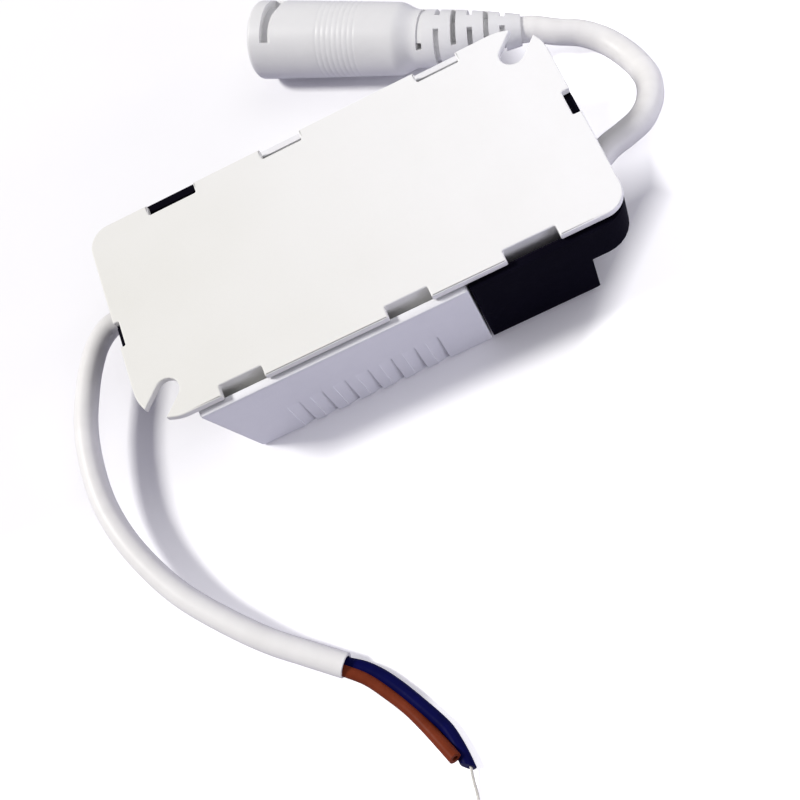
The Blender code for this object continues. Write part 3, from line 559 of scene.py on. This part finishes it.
def add_line(curve, points):
    """Adds a chain of straight pieces to a curve."""
    spline = curve.splines.new("POLY")
    spline.points.add(len(points) - 1)
    for spot, point in zip(spline.points, points):
        spot.co = (*point, 1.0)
    return spline


def as_mesh(name, curve):
    """Puts a curve into the scene and turns it into a mesh."""
    select_only(new_object(name, curve))
    bpy.ops.object.convert(target="MESH")
    return bpy.context.active_object


def tube(name, points, diameter, resolution=6):
    """A round tube along a curve, as a mesh, with UVs that run round it and along it."""
    curve = bpy.data.curves.new(name, "CURVE")
    curve.dimensions = "3D"
    curve.bevel_depth = diameter / 2
    curve.bevel_resolution = resolution
    curve.use_fill_caps = True
    add_line(curve, points)
    made = as_mesh(name, curve)
    face_outwards(made)
    return made


def hollow_end(target, place, direction, wall, depth):
    """Insets the cap at one end of a tube and pushes it in, so that the tube shows its wall."""
    flat, near = 0.03 * mm, 4 * mm
    pick(target, lambda point: abs((point - place).dot(direction)) < flat and (point - place).length < near)
    select_only(target)
    bpy.ops.object.mode_set(mode="EDIT")
    bpy.ops.mesh.select_mode(type="FACE")
    bpy.ops.mesh.dissolve_faces()
    bpy.ops.mesh.inset(thickness=wall, depth=0)
    bpy.ops.mesh.extrude_region_move(TRANSFORM_OT_translate={"value": tuple(-direction * depth)})
    done()


def sheathe(target, finish):
    """Gives a cord or a core its finish and smooth shading up to the rims of its ends."""
    put_on(target, finish)
    shade(target, 50)


# %% [markdown]
# ### The mains cord
#
# The mains cord leaves the far-left cover, bends round in a wide bow above the table and comes down to it
# at its end. There the sheath is cut square, and the brown and the blue core come out of it side by side.

# %% Mains cord
input_route = millimetres([
    (-26.8, 7.0, 8.2),
    (-34.6, 7.0, 8.2),
    (-39.4, 8.0, 8.25),
    (-43.8, 9.5, 8.4),
    (-47.7, 9.6, 8.6),
    (-51.0, 7.2, 8.8),
    (-53.7, 3.1, 8.8),
    (-55.7, -1.6, 8.8),
    (-57.6, -7.4, 8.6),
    (-58.6, -14.1, 8.2),
    (-58.6, -21.6, 7.6),
    (-57.2, -28.6, 7.0),
    (-54.4, -35.8, 6.3),
    (-50.4, -42.9, 5.5),
    (-44.8, -49.8, 4.6),
    (-39.1, -55.7, 3.7),
    (-33.8, -60.1, 2.9),
    (-28.6, -64.3, 2.25),
])
input_diameter = 4.3 * mm
input_path = smooth_route(input_route, 6)
input_cord = tube("mains_cord", input_path, input_diameter)
sheath_end = last_direction(input_path)
hollow_end(input_cord, input_path[-1], sheath_end, 0.5 * mm, 3 * mm)
sheathe(input_cord, sheath_finish)
print("mains cord:", round(route_length(input_path), 4), "m")

# %% [markdown]
# ### The two cores
#
# Each core is a tube of insulation round a bundle of fine wires. The brown one lies against the blue one
# and partly over it. It is cut square, with its wires drawn back into it, so its end is a ring with a
# dark middle. The blue one is cut at a slant and one thin twist of tinned wires hangs out of it.

# %% Brown core
core_diameter = 2.1 * mm
live_route = millimetres([
    (-30.69, -63.7, 2.45),
    (-29.0, -65.0, 2.2),
    (-26.15, -67.6, 1.7),
    (-23.99, -70.6, 1.3),
    (-21.54, -74.52, 1.12),
    (-19.89, -77.99, 1.35),
    (-18.52, -81.12, 1.95),
    (-17.07, -84.52, 2.85),
])
live_path = smooth_route(live_route, 5)
live_core = tube("brown_core", live_path, core_diameter)
live_end = last_direction(live_path)
hollow_end(live_core, live_path[-1], live_end, 0.55 * mm, 1.6 * mm)
sheathe(live_core, brown_finish)
print("brown core:", round(route_length(live_path), 4), "m")

# %% Blue core
neutral_diameter = 2.2 * mm
neutral_route = millimetres([
    (-29.8, -62.95, 2.0),
    (-28.2, -64.15, 1.8),
    (-25.95, -65.72, 1.6),
    (-23.87, -67.86, 1.4),
    (-21.77, -70.83, 1.2),
    (-19.55, -74.58, 1.22),
    (-17.84, -77.7, 1.15),
    (-16.86, -79.89, 1.15),
    (-16.07, -83.76, 1.15),
    (-15.81, -86.75, 1.15),
])
neutral_path = smooth_route(neutral_route, 5)
neutral_core = tube("blue_core", neutral_path, neutral_diameter)
neutral_end = last_direction(neutral_path)
slant = (neutral_end + Vector((-0.75, 0, 0.35))).normalized()
slant_place = neutral_path[-1] - neutral_end * 0.6 * mm
edit_all(neutral_core)
bpy.ops.mesh.bisect(plane_co=slant_place, plane_no=slant, clear_outer=True, use_fill=True)
done()
hollow_end(neutral_core, slant_place, slant, 0.5 * mm, 1.0 * mm)
sheathe(neutral_core, blue_finish)
print("blue core:", round(route_length(neutral_path), 4), "m")

# %% [markdown]
# ### Fine wires
#
# A stranded conductor is a handful of thin wires laid in a hexagon and twisted. One wire is a thin tube
# on a helix round the conductor's middle line, and the rest are the same helix started at other angles.

# %% A twisted bundle


def bundle(name, path, wire_diameter, rings, turns_per_metre):
    """Wires in a hexagon round a path: one in the middle, six in the first ring, twelve in the second."""
    wires = []
    spacing = wire_diameter * 0.98
    spots = [(0.0, 0.0)]
    for ring in range(1, rings + 1):
        spots += [(ring * spacing, math.tau * i / (6 * ring)) for i in range(6 * ring)]
    for number, (distance, start) in enumerate(spots):
        points = []
        run = 0.0
        for i, place in enumerate(path):
            ahead = (path[min(i + 1, len(path) - 1)] - path[max(i - 1, 0)]).normalized()
            sideways = ahead.cross(Vector((0, 0, 1))).normalized()
            upward = sideways.cross(ahead)
            if i:
                run += (place - path[i - 1]).length
            angle = start + math.tau * turns_per_metre * run
            points.append(place + (sideways * math.cos(angle) + upward * math.sin(angle)) * distance)
        wires.append(tube(f"{name}_{number}", points, wire_diameter, 1))
    made = join(wires, name)
    shade(made, 50)
    return made


wire_diameter, strand_diameter = 0.2 * mm, 0.17 * mm
live_wires = bundle("brown_core_wires", live_path[-8:-4], wire_diameter, 2, 60)
put_on(live_wires, copper_finish)
strand_route = millimetres([
    (-15.44, -85.4, 1.12),
    (-15.64, -86.74, 1.1),
    (-15.95, -88.29, 0.8),
    (-16.15, -89.86, 0.5),
    (-16.37, -91.1, 0.35),
])
strand_path = smooth_route(strand_route, 12)
strands = bundle("blue_core_wires", strand_path, strand_diameter, 1, 140)
put_on(strands, tinned_finish)
stub_path = [neutral_path[-1] - neutral_end * distance * mm for distance in (2.6, 2.2, 1.8, 1.5)]
stub = bundle("blue_core_stub", stub_path, wire_diameter, 2, 60)
put_on(stub, tinned_finish)
print("faces of the wires:", [len(piece.data.polygons) for piece in (live_wires, strands, stub)])

# %% [markdown]
# ### The output cord
#
# The output cord leaves the near-right cover at the driver's right end, swings out in a loop, comes down
# to the table and rises again into the strain relief of the connector.

# %% Output cord
output_diameter = 4.8 * mm
relief_tip = Vector((42.372, 30.382, 5.89)) * mm
relief_forward = Vector((0.9328, -0.345, -0.1045)).normalized()
output_route = millimetres([
    (26.8, -7.0, 8.2),
    (34.6, -7.0, 8.2),
    (38.6, -5.9, 8.1),
    (42.2, -3.6, 7.9),
    (45.8, -1.5, 7.6),
    (49.5, -0.2, 7.1),
    (52.9, 1.4, 6.4),
    (55.3, 3.7, 5.6),
    (56.9, 6.3, 4.7),
    (58.1, 10.2, 3.9),
    (57.9, 14.4, 3.2),
    (56.8, 18.6, 2.8),
    (55.0, 22.3, 2.9),
    (51.9, 25.4, 3.7),
    (48.0, 27.3, 4.8),
])
joint_gap, depth_in_relief = 0.3 * mm, 1.2 * mm
output_route.append(relief_tip + relief_forward * (joint_gap + output_diameter / 3))
output_route.append(relief_tip + relief_forward * joint_gap)
output_path = smooth_route(output_route, 6)
output_path.append(relief_tip - relief_forward * depth_in_relief)
output_cord = tube("output_lead", output_path, output_diameter)
sheathe(output_cord, sheath_finish)
print("output cord:", round(route_length(output_path), 4), "m")

# %% [markdown]
# ## The connector
#
# The connector is one soft moulding: a barrel to hold, a shoulder and a strain relief that is cut into
# segments so that it can flex. It is modelled straight, along Z, because every cut is then a simple
# turned shape. Only at the end is it laid along its real centreline, which bends a little in the relief.

# %% Sizes of the connector
barrel_radius = 7.35 * mm
barrel_taper = 0.7 * mm
barrel_length = 28.6 * mm
rim_round = 0.9 * mm
shoulder_length = 4.3 * mm
relief_length = 18.6 * mm
relief_start, relief_tip_radius = 5.25 * mm, 2.85 * mm
connector_length = barrel_length + shoulder_length + relief_length
open_end = Vector((-2.602, 55.0, 7.35)) * mm
barrel_heading = math.radians(-31.8)
relief_turn = math.radians(11.5)
relief_dip = math.radians(6.0)
grip_start, grip_pitch, grip_depth, grip_rings = 14.2 * mm, 1.05 * mm, 0.045 * mm, 8


def barrel_radius_at(distance):
    return barrel_radius - barrel_taper * (distance / barrel_length) ** 1.3


def relief_radius_at(share):
    return relief_start - (relief_start - relief_tip_radius) * share**1.7


# %% [markdown]
# ### Turned shapes
#
# A turned shape is half of its section, drawn as a chain of points and spun round the axis. The Spin
# operator makes the faces and merging closes the seam. A partial spin makes an arc, which is what cuts a
# slot.

# %% Spin a profile


def chain(name, points, closed):
    """A flat chain of vertices in the XZ plane, ready to be spun about Z."""
    mesh = bpy.data.meshes.new(name)
    edges = [(i, i + 1) for i in range(len(points) - 1)]
    if closed:
        edges.append((len(points) - 1, 0))
    mesh.from_pydata([(radius, 0, distance) for distance, radius in points], edges, [])
    return new_object(name, mesh)


def spun(name, points, steps, start=0, sweep=360):
    """A chain of (distance, radius) points spun about Z. A full turn closes, and an arc gets end faces."""
    full = sweep == 360
    made = chain(name, points, closed=not full)
    edit_all(made)
    if not full:
        bpy.ops.mesh.edge_face_add()
    # Spin turns clockwise about Z, so the angle is negative for an arc from start to start + sweep.
    turn_by = -math.radians(sweep)
    bpy.ops.mesh.spin(steps=steps, angle=turn_by, center=(0, 0, 0), axis=(0, 0, 1), use_auto_merge=full)
    done()
    face_outwards(made, 0.001 * mm)
    made.rotation_euler.z = math.radians(start)
    set_origin(made)
    return made


# %% Outside of the body


def body_profile():
    """The (distance, radius) chain from the rim over the grip rings and shoulder to the relief's tip."""
    rim_steps, barrel_steps, end_steps, shoulder_steps, relief_steps = 8, 11, 6, 10, 30
    profile = [(0, 0)]
    for i in range(rim_steps + 1):
        angle = math.radians(90 * i / rim_steps)
        inset = rim_round * (1 - math.sin(angle))
        profile.append((rim_round * (1 - math.cos(angle)), barrel_radius - inset))
    for i in range(1, barrel_steps + 1):
        place = rim_round + (grip_start - grip_pitch - rim_round) * i / barrel_steps
        profile.append((place, barrel_radius_at(place)))
    for ring in range(grip_rings):
        middle = grip_start + ring * grip_pitch
        for step in range(-3, 4):
            place = middle + grip_pitch * step / 7
            dip = grip_depth * max(0.0, math.cos(math.pi * step / 5)) ** 2
            profile.append((place, barrel_radius_at(place) - dip))
    last = grip_start + (grip_rings - 0.4) * grip_pitch
    for i in range(1, end_steps + 1):
        place = last + (barrel_length - last) * i / end_steps
        profile.append((place, barrel_radius_at(place)))
    shoulder = barrel_radius_at(barrel_length)
    for i in range(1, shoulder_steps + 1):
        ease = 0.5 - 0.5 * math.cos(math.pi * i / shoulder_steps)
        place = barrel_length + shoulder_length * i / shoulder_steps
        profile.append((place, shoulder + (relief_start - shoulder) * ease))
    for i in range(1, relief_steps + 1):
        share = i / relief_steps
        profile.append((barrel_length + shoulder_length + relief_length * share, relief_radius_at(share)))
    profile.append((connector_length, 0))
    return profile


connector_body = spun("dc_connector", body_profile(), 96)
print("connector faces:", len(connector_body.data.polygons))

# %% [markdown]
# ### Cuts in the body
#
# The locking groove near the open end has one straight wall and one that ramps up, and it widens on its
# way round. It is cut first, while the body is one closed shape, because a cut in an open one can leave
# the cutter's outside standing on it. The socket is a stepped bore. The relief has six slots, each cut in
# two arcs that leave two bridges, and the bridges stand a quarter turn apart from slot to slot, so the
# relief bends evenly in every direction. Four slots reach a thin core. The first two are shallower, apart
# from two short windows in the first one that go down to the core.

# %% Locking groove
groove_start, groove_width, groove_widest, groove_depth = 2.9 * mm, 2.3 * mm, 3.6 * mm, 1.4 * mm


def locking_groove():
    """A cutter whose section changes as it goes round: rings of five corners, with faces between them."""
    steps, start, sweep, widening_from = 24, 50, 100, 0.25
    points, faces = [], []
    floor_radius, outside = barrel_radius - groove_depth, barrel_radius + 1.5 * mm
    for step in range(steps + 1):
        share = step / steps
        angle = math.radians(start + sweep * share)
        widening = max(0.0, share - widening_from) / (1 - widening_from)
        width = groove_width + (groove_widest - groove_width) * widening
        end = groove_start + width
        corners = (
            (groove_start, floor_radius),
            (groove_start + 0.45 * width, floor_radius),
            (end, barrel_radius + 0.05 * mm),
            (end, outside),
            (groove_start, outside),
        )
        points += [(radius * math.cos(angle), radius * math.sin(angle), place) for place, radius in corners]
    for step in range(steps):
        for i in range(5):
            a, b = step * 5 + i, step * 5 + (i + 1) % 5
            faces.append((a, b, b + 5, a + 5))
    faces.append(tuple(range(5)))
    faces.append(tuple(steps * 5 + i for i in range(5)))
    mesh = bpy.data.meshes.new("locking groove")
    mesh.from_pydata(points, [], faces)
    made = new_object("locking groove", mesh)
    face_outwards(made)
    return made


boolean(connector_body, locking_groove())
print("widest radius:", round(max(vertex.co.xy.length for vertex in connector_body.data.vertices), 5))

# %% Bore and relief slots
bore_steps = ((-1, 0), (-1, 5.9), (0, 5.5), (2, 4.9), (2.6, 4.3), (14, 4.3), (14, 0))
bore = spun("bore", [(distance * mm, radius * mm) for distance, radius in bore_steps], 96)
boolean(connector_body, bore)

cord_hole_radius = output_diameter / 2 + 0.05 * mm
hole_floor, past_end = connector_length - 2.4 * mm, connector_length + 1 * mm
section = [(hole_floor, 0), (hole_floor, cord_hole_radius), (past_end, cord_hole_radius), (past_end, 0)]
boolean(connector_body, spun("cord hole", section, 48))

slot_count, slot_width, first_slot = 6, 0.95 * mm, 0.35 * mm
slot_pitch = (relief_length - 1.2 * mm) / slot_count
slot_core, past_relief = 2.65 * mm, 9 * mm
slot_floors = {0: relief_start - 0.3 * mm, 1: relief_start - 1.1 * mm}


def cut_slot(number, floor_radius, steps, middle, half):
    """Cuts two opposite arcs, each reaching `half` degrees to either side of its middle."""
    low = barrel_length + shoulder_length + first_slot + number * slot_pitch
    high = low + slot_width
    section = [(low, floor_radius), (high, floor_radius), (high, past_relief), (low, past_relief)]
    for turn_by in (0, 180):
        boolean(connector_body, spun("slot", section, steps, middle + turn_by - half, 2 * half))


for number in range(slot_count):
    middle, half = (0, 73) if number % 2 else (90, 54)
    cut_slot(number, slot_floors.get(number, slot_core), 36, middle, half)
cut_slot(0, slot_core, 12, 38, 7)
print("faces after the slots:", len(connector_body.data.polygons))

# %% Soft edges of the connector
soften(connector_body, 0.14 * mm, 2, 40)
print("connector faces:", len(connector_body.data.polygons))

# %% [markdown]
# ### Laying the connector along its centreline
#
# The centreline is straight along the barrel and then turns and dips a little more with each step of the
# relief. Each vertex keeps its distance along the line and its place round it. The Curve modifier does
# the same with a drawn curve, but a formula keeps this piece on the CAD node's line exactly.

# %% Bend


def heading(share):
    turned = 1 - (1 - share) ** 3
    yaw, dip = barrel_heading + relief_turn * turned, relief_dip * turned
    return Vector((math.cos(yaw) * math.cos(dip), math.sin(yaw) * math.cos(dip), -math.sin(dip)))


def station(distance):
    """Centre, forward, sideways and up vectors at a distance from the open end."""
    straight = barrel_length + shoulder_length
    place = open_end + heading(0.0) * min(distance, straight)
    share, steps = 0.0, 24
    if distance > straight:
        share = min((distance - straight) / relief_length, 1.0)
        for i in range(steps):
            place += heading(share * (i + 0.5) / steps) * (distance - straight) / steps
    forward = heading(share)
    sideways = forward.cross(Vector((0, 0, 1))).normalized()
    return place, forward, sideways, sideways.cross(forward)


stations = {}
for vertex in connector_body.data.vertices:
    x, y, distance = vertex.co
    key = round(distance, 7)
    if key not in stations:
        stations[key] = station(distance)
    centre, forward, sideways, upward = stations[key]
    vertex.co = centre + sideways * x + upward * y
face_outwards(connector_body)
put_on(connector_body, connector_finish)
keep_flats_flat(connector_body, 40)
print("connector stations:", len(stations))

# %% [markdown]
# ## The base plate
#
# The base plate is a flat moulding with a rounded edge. Its outline is drawn as one flat curve from the
# plate's sizes, with arcs at the corners and in the notches, and an extrusion with a bevel gives it its
# thickness and its soft edge in one go. One half is the other turned half round, apart from the depth of
# the end notches.

# %% Sizes of the plate
plate_length, plate_width, plate_thickness = 86.0 * mm, 41.2 * mm, 1.45 * mm
driver_height = 21.1 * mm
plain_radius, slot_corner_radius = 4.0 * mm, 8.0 * mm
plate_round = 0.28 * mm
notch_depth, notch_inner_round, notch_outer_round = 2.12 * mm, 0.3 * mm, 0.15 * mm
# Each notch has its place along the edge and its width.
notches = (
    (-0.2895 * plate_length, 7.8 * mm),
    (0.057 * plate_length, 7.6 * mm),
    (0.307 * plate_length, 9.2 * mm),
)
end_notch_y, end_notch_width, end_notch_round = 1.2 * mm, 4.9 * mm, 0.25 * mm
right_notch_depth, left_notch_depth = 1.5 * mm, 1.05 * mm
slot_x = plate_length / 2 - 0.0663 * plate_length
slot_y = plate_width / 2 - 5.5 * mm
slot_half = 2.15 * mm

# %% Outline of half the plate


def arc(centre, radius, start, end, steps):
    points = []
    for i in range(steps + 1):
        angle = math.radians(start + (end - start) * i / steps)
        points.append((centre[0] + radius * math.cos(angle), centre[1] + radius * math.sin(angle)))
    return points


def fillet(corner, before, after, radius, steps):
    """Rounds a corner of an outline: leaves the line towards `before` and joins the one towards `after`."""
    corner, before, after = Vector(corner), Vector(before), Vector(after)
    to_before, to_after = (before - corner).normalized(), (after - corner).normalized()
    half = to_before.angle(to_after) / 2
    reach = radius / math.tan(half)
    centre = corner + (to_before + to_after).normalized() * radius / math.sin(half)
    first, last = corner + to_before * reach - centre, corner + to_after * reach - centre
    points = []
    for i in range(steps + 1):
        points.append(tuple(centre + first.slerp(last, i / steps).normalized() * radius))
    return points


def half_outline(end_depth):
    """The -Y edge, the near-right corner, the +X edge and the far-right corner with its screw slot."""
    half_length, half_plate = plate_length / 2, plate_width / 2
    corners = [(-half_length + slot_corner_radius, -half_plate)]
    rounding = [0]
    for x, width in notches:
        for along, across in ((-1, 0), (-1, 1), (1, 1), (1, 0)):
            corners.append((x + along * width / 2, -half_plate + across * notch_depth))
            rounding.append(notch_inner_round if across else notch_outer_round)
    corners.append((half_length, -half_plate))
    rounding.append(plain_radius)
    low, high = end_notch_y - end_notch_width / 2, end_notch_y + end_notch_width / 2
    for x, y in ((0, low), (-end_depth, low), (-end_depth, high), (0, high)):
        corners.append((half_length + x, y))
        rounding.append(end_notch_round)
    points = [corners[0]]
    ends = corners + [(half_length, half_plate - slot_corner_radius)]
    for i in range(1, len(corners)):
        steps = 10 if rounding[i] == plain_radius else 4
        points += fillet(ends[i], ends[i - 1], ends[i + 1], rounding[i], steps)
    centre = Vector((half_length - slot_corner_radius, half_plate - slot_corner_radius))
    slot_centre = Vector((slot_x, slot_y))
    slot_from, slot_to = slot_mouth_angles(centre, slot_centre)
    points += arc(centre, slot_corner_radius, 0, slot_from, 8)
    points += arc(slot_centre, slot_half, -45, -225, 20)
    points += arc(centre, slot_corner_radius, slot_to, 90, 8)
    return points


def slot_mouth_angles(centre, slot_centre):
    """Where the two sides of the slot meet the corner's arc, as angles of that arc in degrees."""
    along_slot, across = Vector((1, 1)).normalized(), Vector((-1, 1)).normalized()
    angles = []
    for side in (-1, 1):
        offset = (slot_centre - centre).dot(across) + side * slot_half
        along = math.sqrt(slot_corner_radius**2 - offset**2)
        spot = across * offset + along_slot * along
        angles.append(math.degrees(math.atan2(spot.y, spot.x)))
    return angles


outline = half_outline(right_notch_depth) + [(-x, -y) for x, y in half_outline(left_notch_depth)]
print("plate outline points:", len(outline))

# %% Plate from the outline


def plate_from(points):
    """The outline, extruded to the plate's thickness with a rounded edge, at the plate's height."""
    curve = bpy.data.curves.new("mounting_plate", "CURVE")
    curve.dimensions = "2D"
    curve.fill_mode = "BOTH"
    curve.extrude = plate_thickness / 2 - plate_round
    curve.bevel_depth = plate_round
    curve.bevel_resolution = 3
    curve.offset = -plate_round
    add_line(curve, [(x, y, 0) for x, y in points]).use_cyclic_u = True
    made = as_mesh("mounting_plate", curve)
    made.location.z = driver_height - plate_thickness / 2
    set_origin(made)
    face_outwards(made)
    return made


plate = plate_from(outline)
print("plate size:", [round(value, 4) for value in plate.dimensions])

# %% [markdown]
# ### Snap lugs
#
# Behind each notch a barbed tongue hangs from the plate and snaps into the housing. The CAD node has
# these tongues in their true form, so a copy of it is cut off a little below the plate. Each tongue is
# widened to fill its notch and its top is raised into the plate's thickness. Then the edges are rounded,
# and the six tongues are joined to the new plate.

# %% Lugs from the CAD node
plate_under = driver_height - plate_thickness
lug_cut, lug_widening, lug_raise = plate_under - 0.5 * mm, 1.9 * mm, 1.4 * mm
lugs = merged_copy("base_plate", "lugs")
edit_all(lugs)
bpy.ops.mesh.bisect(plane_co=(0, 0, lug_cut), plane_no=(0, 0, 1), clear_outer=True, use_fill=True)
done()
for turned in (1, -1):
    for x, width in notches:
        for side in (1, -1):
            move_picked(
                lugs,
                lambda point: point.y * turned < 0 and 0 < (point.x - x * turned) * side < width / 2,
                (side * lug_widening, 0, 0),
            )
move_picked(lugs, lambda point: point.z > lug_cut - 0.05 * mm, (0, 0, lug_raise))
soften(lugs, 0.12 * mm, 2, 50)
plate = join([plate, lugs], "mounting_plate")
put_on(plate, plate_finish)
keep_flats_flat(plate)
print("plate faces:", len(plate.data.polygons))

# %% [markdown]
# ## The housing and the covers
#
# These three shells are right in the CAD, down to their grooves, pockets and clamp bosses, but their
# edges are knife sharp. A copy is merged into whole faces and a Bevel modifier rounds every sharp edge by
# a fraction of a millimetre, which is what catches the light on a real moulding. The tab of each cover,
# which shows in the plate's notches, is moved down first, so that it lies as deep there as the real one.

# %% Housing and covers
housing = merged_copy("housing", "case_shell")
soften(housing, 0.22 * mm, 2, 30)
put_on(housing, case_finish)
keep_flats_flat(housing)
print("housing faces:", len(housing.data.polygons))

tab_low, tab_drop = 20.05 * mm, 0.8 * mm
covers = []
for side in ("input", "output"):
    cover = merged_copy(f"{side}_terminal_cover", f"{side}_cover_shell")
    move_picked(cover, lambda point: point.z > tab_low, (0, 0, -tab_drop))
    soften(cover, 0.18 * mm, 2, 30)
    put_on(cover, black_finish)
    keep_flats_flat(cover)
    covers.append(cover)
    print(side, "cover faces:", len(cover.data.polygons))

# %% [markdown]
# ## What each piece stands for
#
# Every new piece rides on the one rigid body and has a finish slot, and for all but two bundles of wires
# the CAD node that it replaces is hidden.

# %% Pieces, nodes and slots
stand_ins = (
    (plate, "base_plate", "plate_plastic"),
    (housing, "housing", "case_plastic"),
    (covers[0], "input_terminal_cover", "black_plastic"),
    (covers[1], "output_terminal_cover", "black_plastic"),
    (input_cord, "input_cord", "white_sheath"),
    (live_core, "input_live_core", "brown_insulation"),
    (neutral_core, "input_neutral_core", "blue_insulation"),
    (strands, "neutral_strands", "tinned_copper"),
    (output_cord, "output_cord", "white_sheath"),
    (connector_body, "connector_body", "white_moulding"),
)
for piece, node, slot in stand_ins:
    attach(piece, "root")
    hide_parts(node)
for piece in (live_wires, stub):
    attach(piece, "root")

route_length(input_path)
route_length(output_path)

# %% [markdown]
# ## Floor
#
# The driver lies on a white sheet without a visible edge. The floor is a large plane, and where it ends
# the background is white too, so no horizon shows. A very faint mottle keeps it from being one flat tone.
#
# Two things are meant for the camera alone. To it the sheet is almost white, while the object gets the
# light that a darker sheet would throw back, so the walls keep their shade. And the sheet has painted
# light: it glows on the right, beyond a slanting line and just past the driver's right end, and half as
# much in front, so that it is white there. This glow washes out the driver's cast shadow on the right and
# lightens the far parts of the shadows in front.

# %% Floor
bpy.ops.object.select_all(action="DESELECT")
bpy.ops.mesh.primitive_plane_add(size=3)
floor = bpy.context.active_object
floor.name = "table"
edit_all(floor)
bpy.ops.mesh.subdivide(number_cuts=8)
done()
paper = Finish("white_paper", (0.93, 0.93, 0.935), 0.85)
camera_ray = paper.node("ShaderNodeLightPath", output="Is Camera Ray")
across, away = paper.axis("X"), paper.axis("Y")
mottle = paper.spread(paper.noise(60, 2), 0.3, 0.7)
seen_sheet = paper.blend(mottle, (0.93, 0.93, 0.935), (0.92, 0.92, 0.925))
paper.set("Base Color", paper.blend(camera_ray, (0.50, 0.49, 0.60), seen_sheet))
# Painted light: for the camera the floor glows on the right and in front, which lightens the cast shadows
# there.
front_right = paper.spread(across - away * 1.1, 57.5 * mm, 65.5 * mm)
far_right = paper.spread(across, 36 * mm, 42 * mm) * paper.spread(away, -9 * mm, -1 * mm)
outermost = paper.spread(across, 49.5 * mm, 53 * mm)
in_front = paper.spread(away, -15 * mm, -55 * mm) * 0.5
painted_light_share = front_right.math("MAXIMUM", far_right).math("MAXIMUM", outermost).math("MAXIMUM", in_front)
painted_floor_light = paper.blend(painted_light_share, (0.02, 0.018, 0.03), (0.62, 0.61, 0.63))
paper.set("Emission Color", paper.blend(camera_ray, (0, 0, 0), painted_floor_light))
paper.set("Emission Strength", 1.0)
put_on(floor, paper)
print("floor:", [round(value, 2) for value in floor.dimensions])

# %% [markdown]
# ## Light
#
# The key lamp stands high behind the driver on its left, so the shadows fall to the right and towards the
# camera. A large weak lamp behind on the right fills them a little and has no edge of its own. Two small
# lamps stand near: a low one in front on the right grazes the long wall, and one off the right end lights
# the loop of the output cord. The surroundings add a faint lavender fill, as the picture shows, but the
# camera and shiny surfaces see white.

# %% World
white, fill_colour, fill_strength = (1, 1, 1), (0.9, 0.88, 1.0), 0.25
world = bpy.data.worlds.new("studio")
world.use_nodes = True
bpy.context.scene.world = world
tree = world.node_tree
tree.nodes.clear()


def background(colour, strength):
    made = tree.nodes.new("ShaderNodeBackground")
    made.inputs["Color"].default_value = (*colour, 1)
    made.inputs["Strength"].default_value = strength
    return made.outputs[0]


def either(first, second):
    """One where either of two kinds of ray applies, and nought elsewhere."""
    made = tree.nodes.new("ShaderNodeMath")
    made.operation, made.use_clamp = "ADD", True
    tree.links.new(first, made.inputs[0])
    tree.links.new(second, made.inputs[1])
    return made.outputs[0]


ray = tree.nodes.new("ShaderNodeLightPath").outputs
sees_white = either(either(ray["Is Camera Ray"], ray["Is Glossy Ray"]), ray["Is Transmission Ray"])
mixed = tree.nodes.new("ShaderNodeMixShader")
surroundings = tree.nodes.new("ShaderNodeOutputWorld")
sources = (sees_white, background(fill_colour, fill_strength), background(white, 1))
for socket, source in zip(mixed.inputs, sources):
    tree.links.new(source, socket)
tree.links.new(mixed.outputs[0], surroundings.inputs["Surface"])
print("world nodes:", len(tree.nodes))

# %% Lamps


def lamp(name, direction, distance, size, watts, colour):
    """A square area lamp that faces the middle of the driver, at a distance in metres."""
    data = bpy.data.lights.new(name, "AREA")
    data.shape = "SQUARE"
    data.size = size
    data.energy = watts
    data.color = colour
    made = new_object(name, data)
    towards = Vector(direction).normalized()
    made.location = towards * distance
    made.rotation_mode = "QUATERNION"
    made.rotation_quaternion = towards.to_track_quat("Z", "Y")


lamp("left lamp", (-0.8, 0.33, 1.0), 3.0, size=0.55, watts=80.0, colour=(1.0, 0.985, 0.965))
lamp("right lamp", (0.7, 0.3, 1.0), 3.0, size=2.0, watts=13.0, colour=(0.98, 0.98, 1.0))
lamp("front lamp", (1.1, -1.0, 0.28), 0.45, size=0.2, watts=0.66, colour=(0.87, 0.86, 1.0))
lamp("side lamp", (1.0, 0.3, 0.3), 0.16, size=0.05, watts=0.022, colour=(0.97, 0.97, 1.0))
print("lamps:", len(bpy.data.lights))

bpy.context.scene.view_settings.view_transform = "Standard"
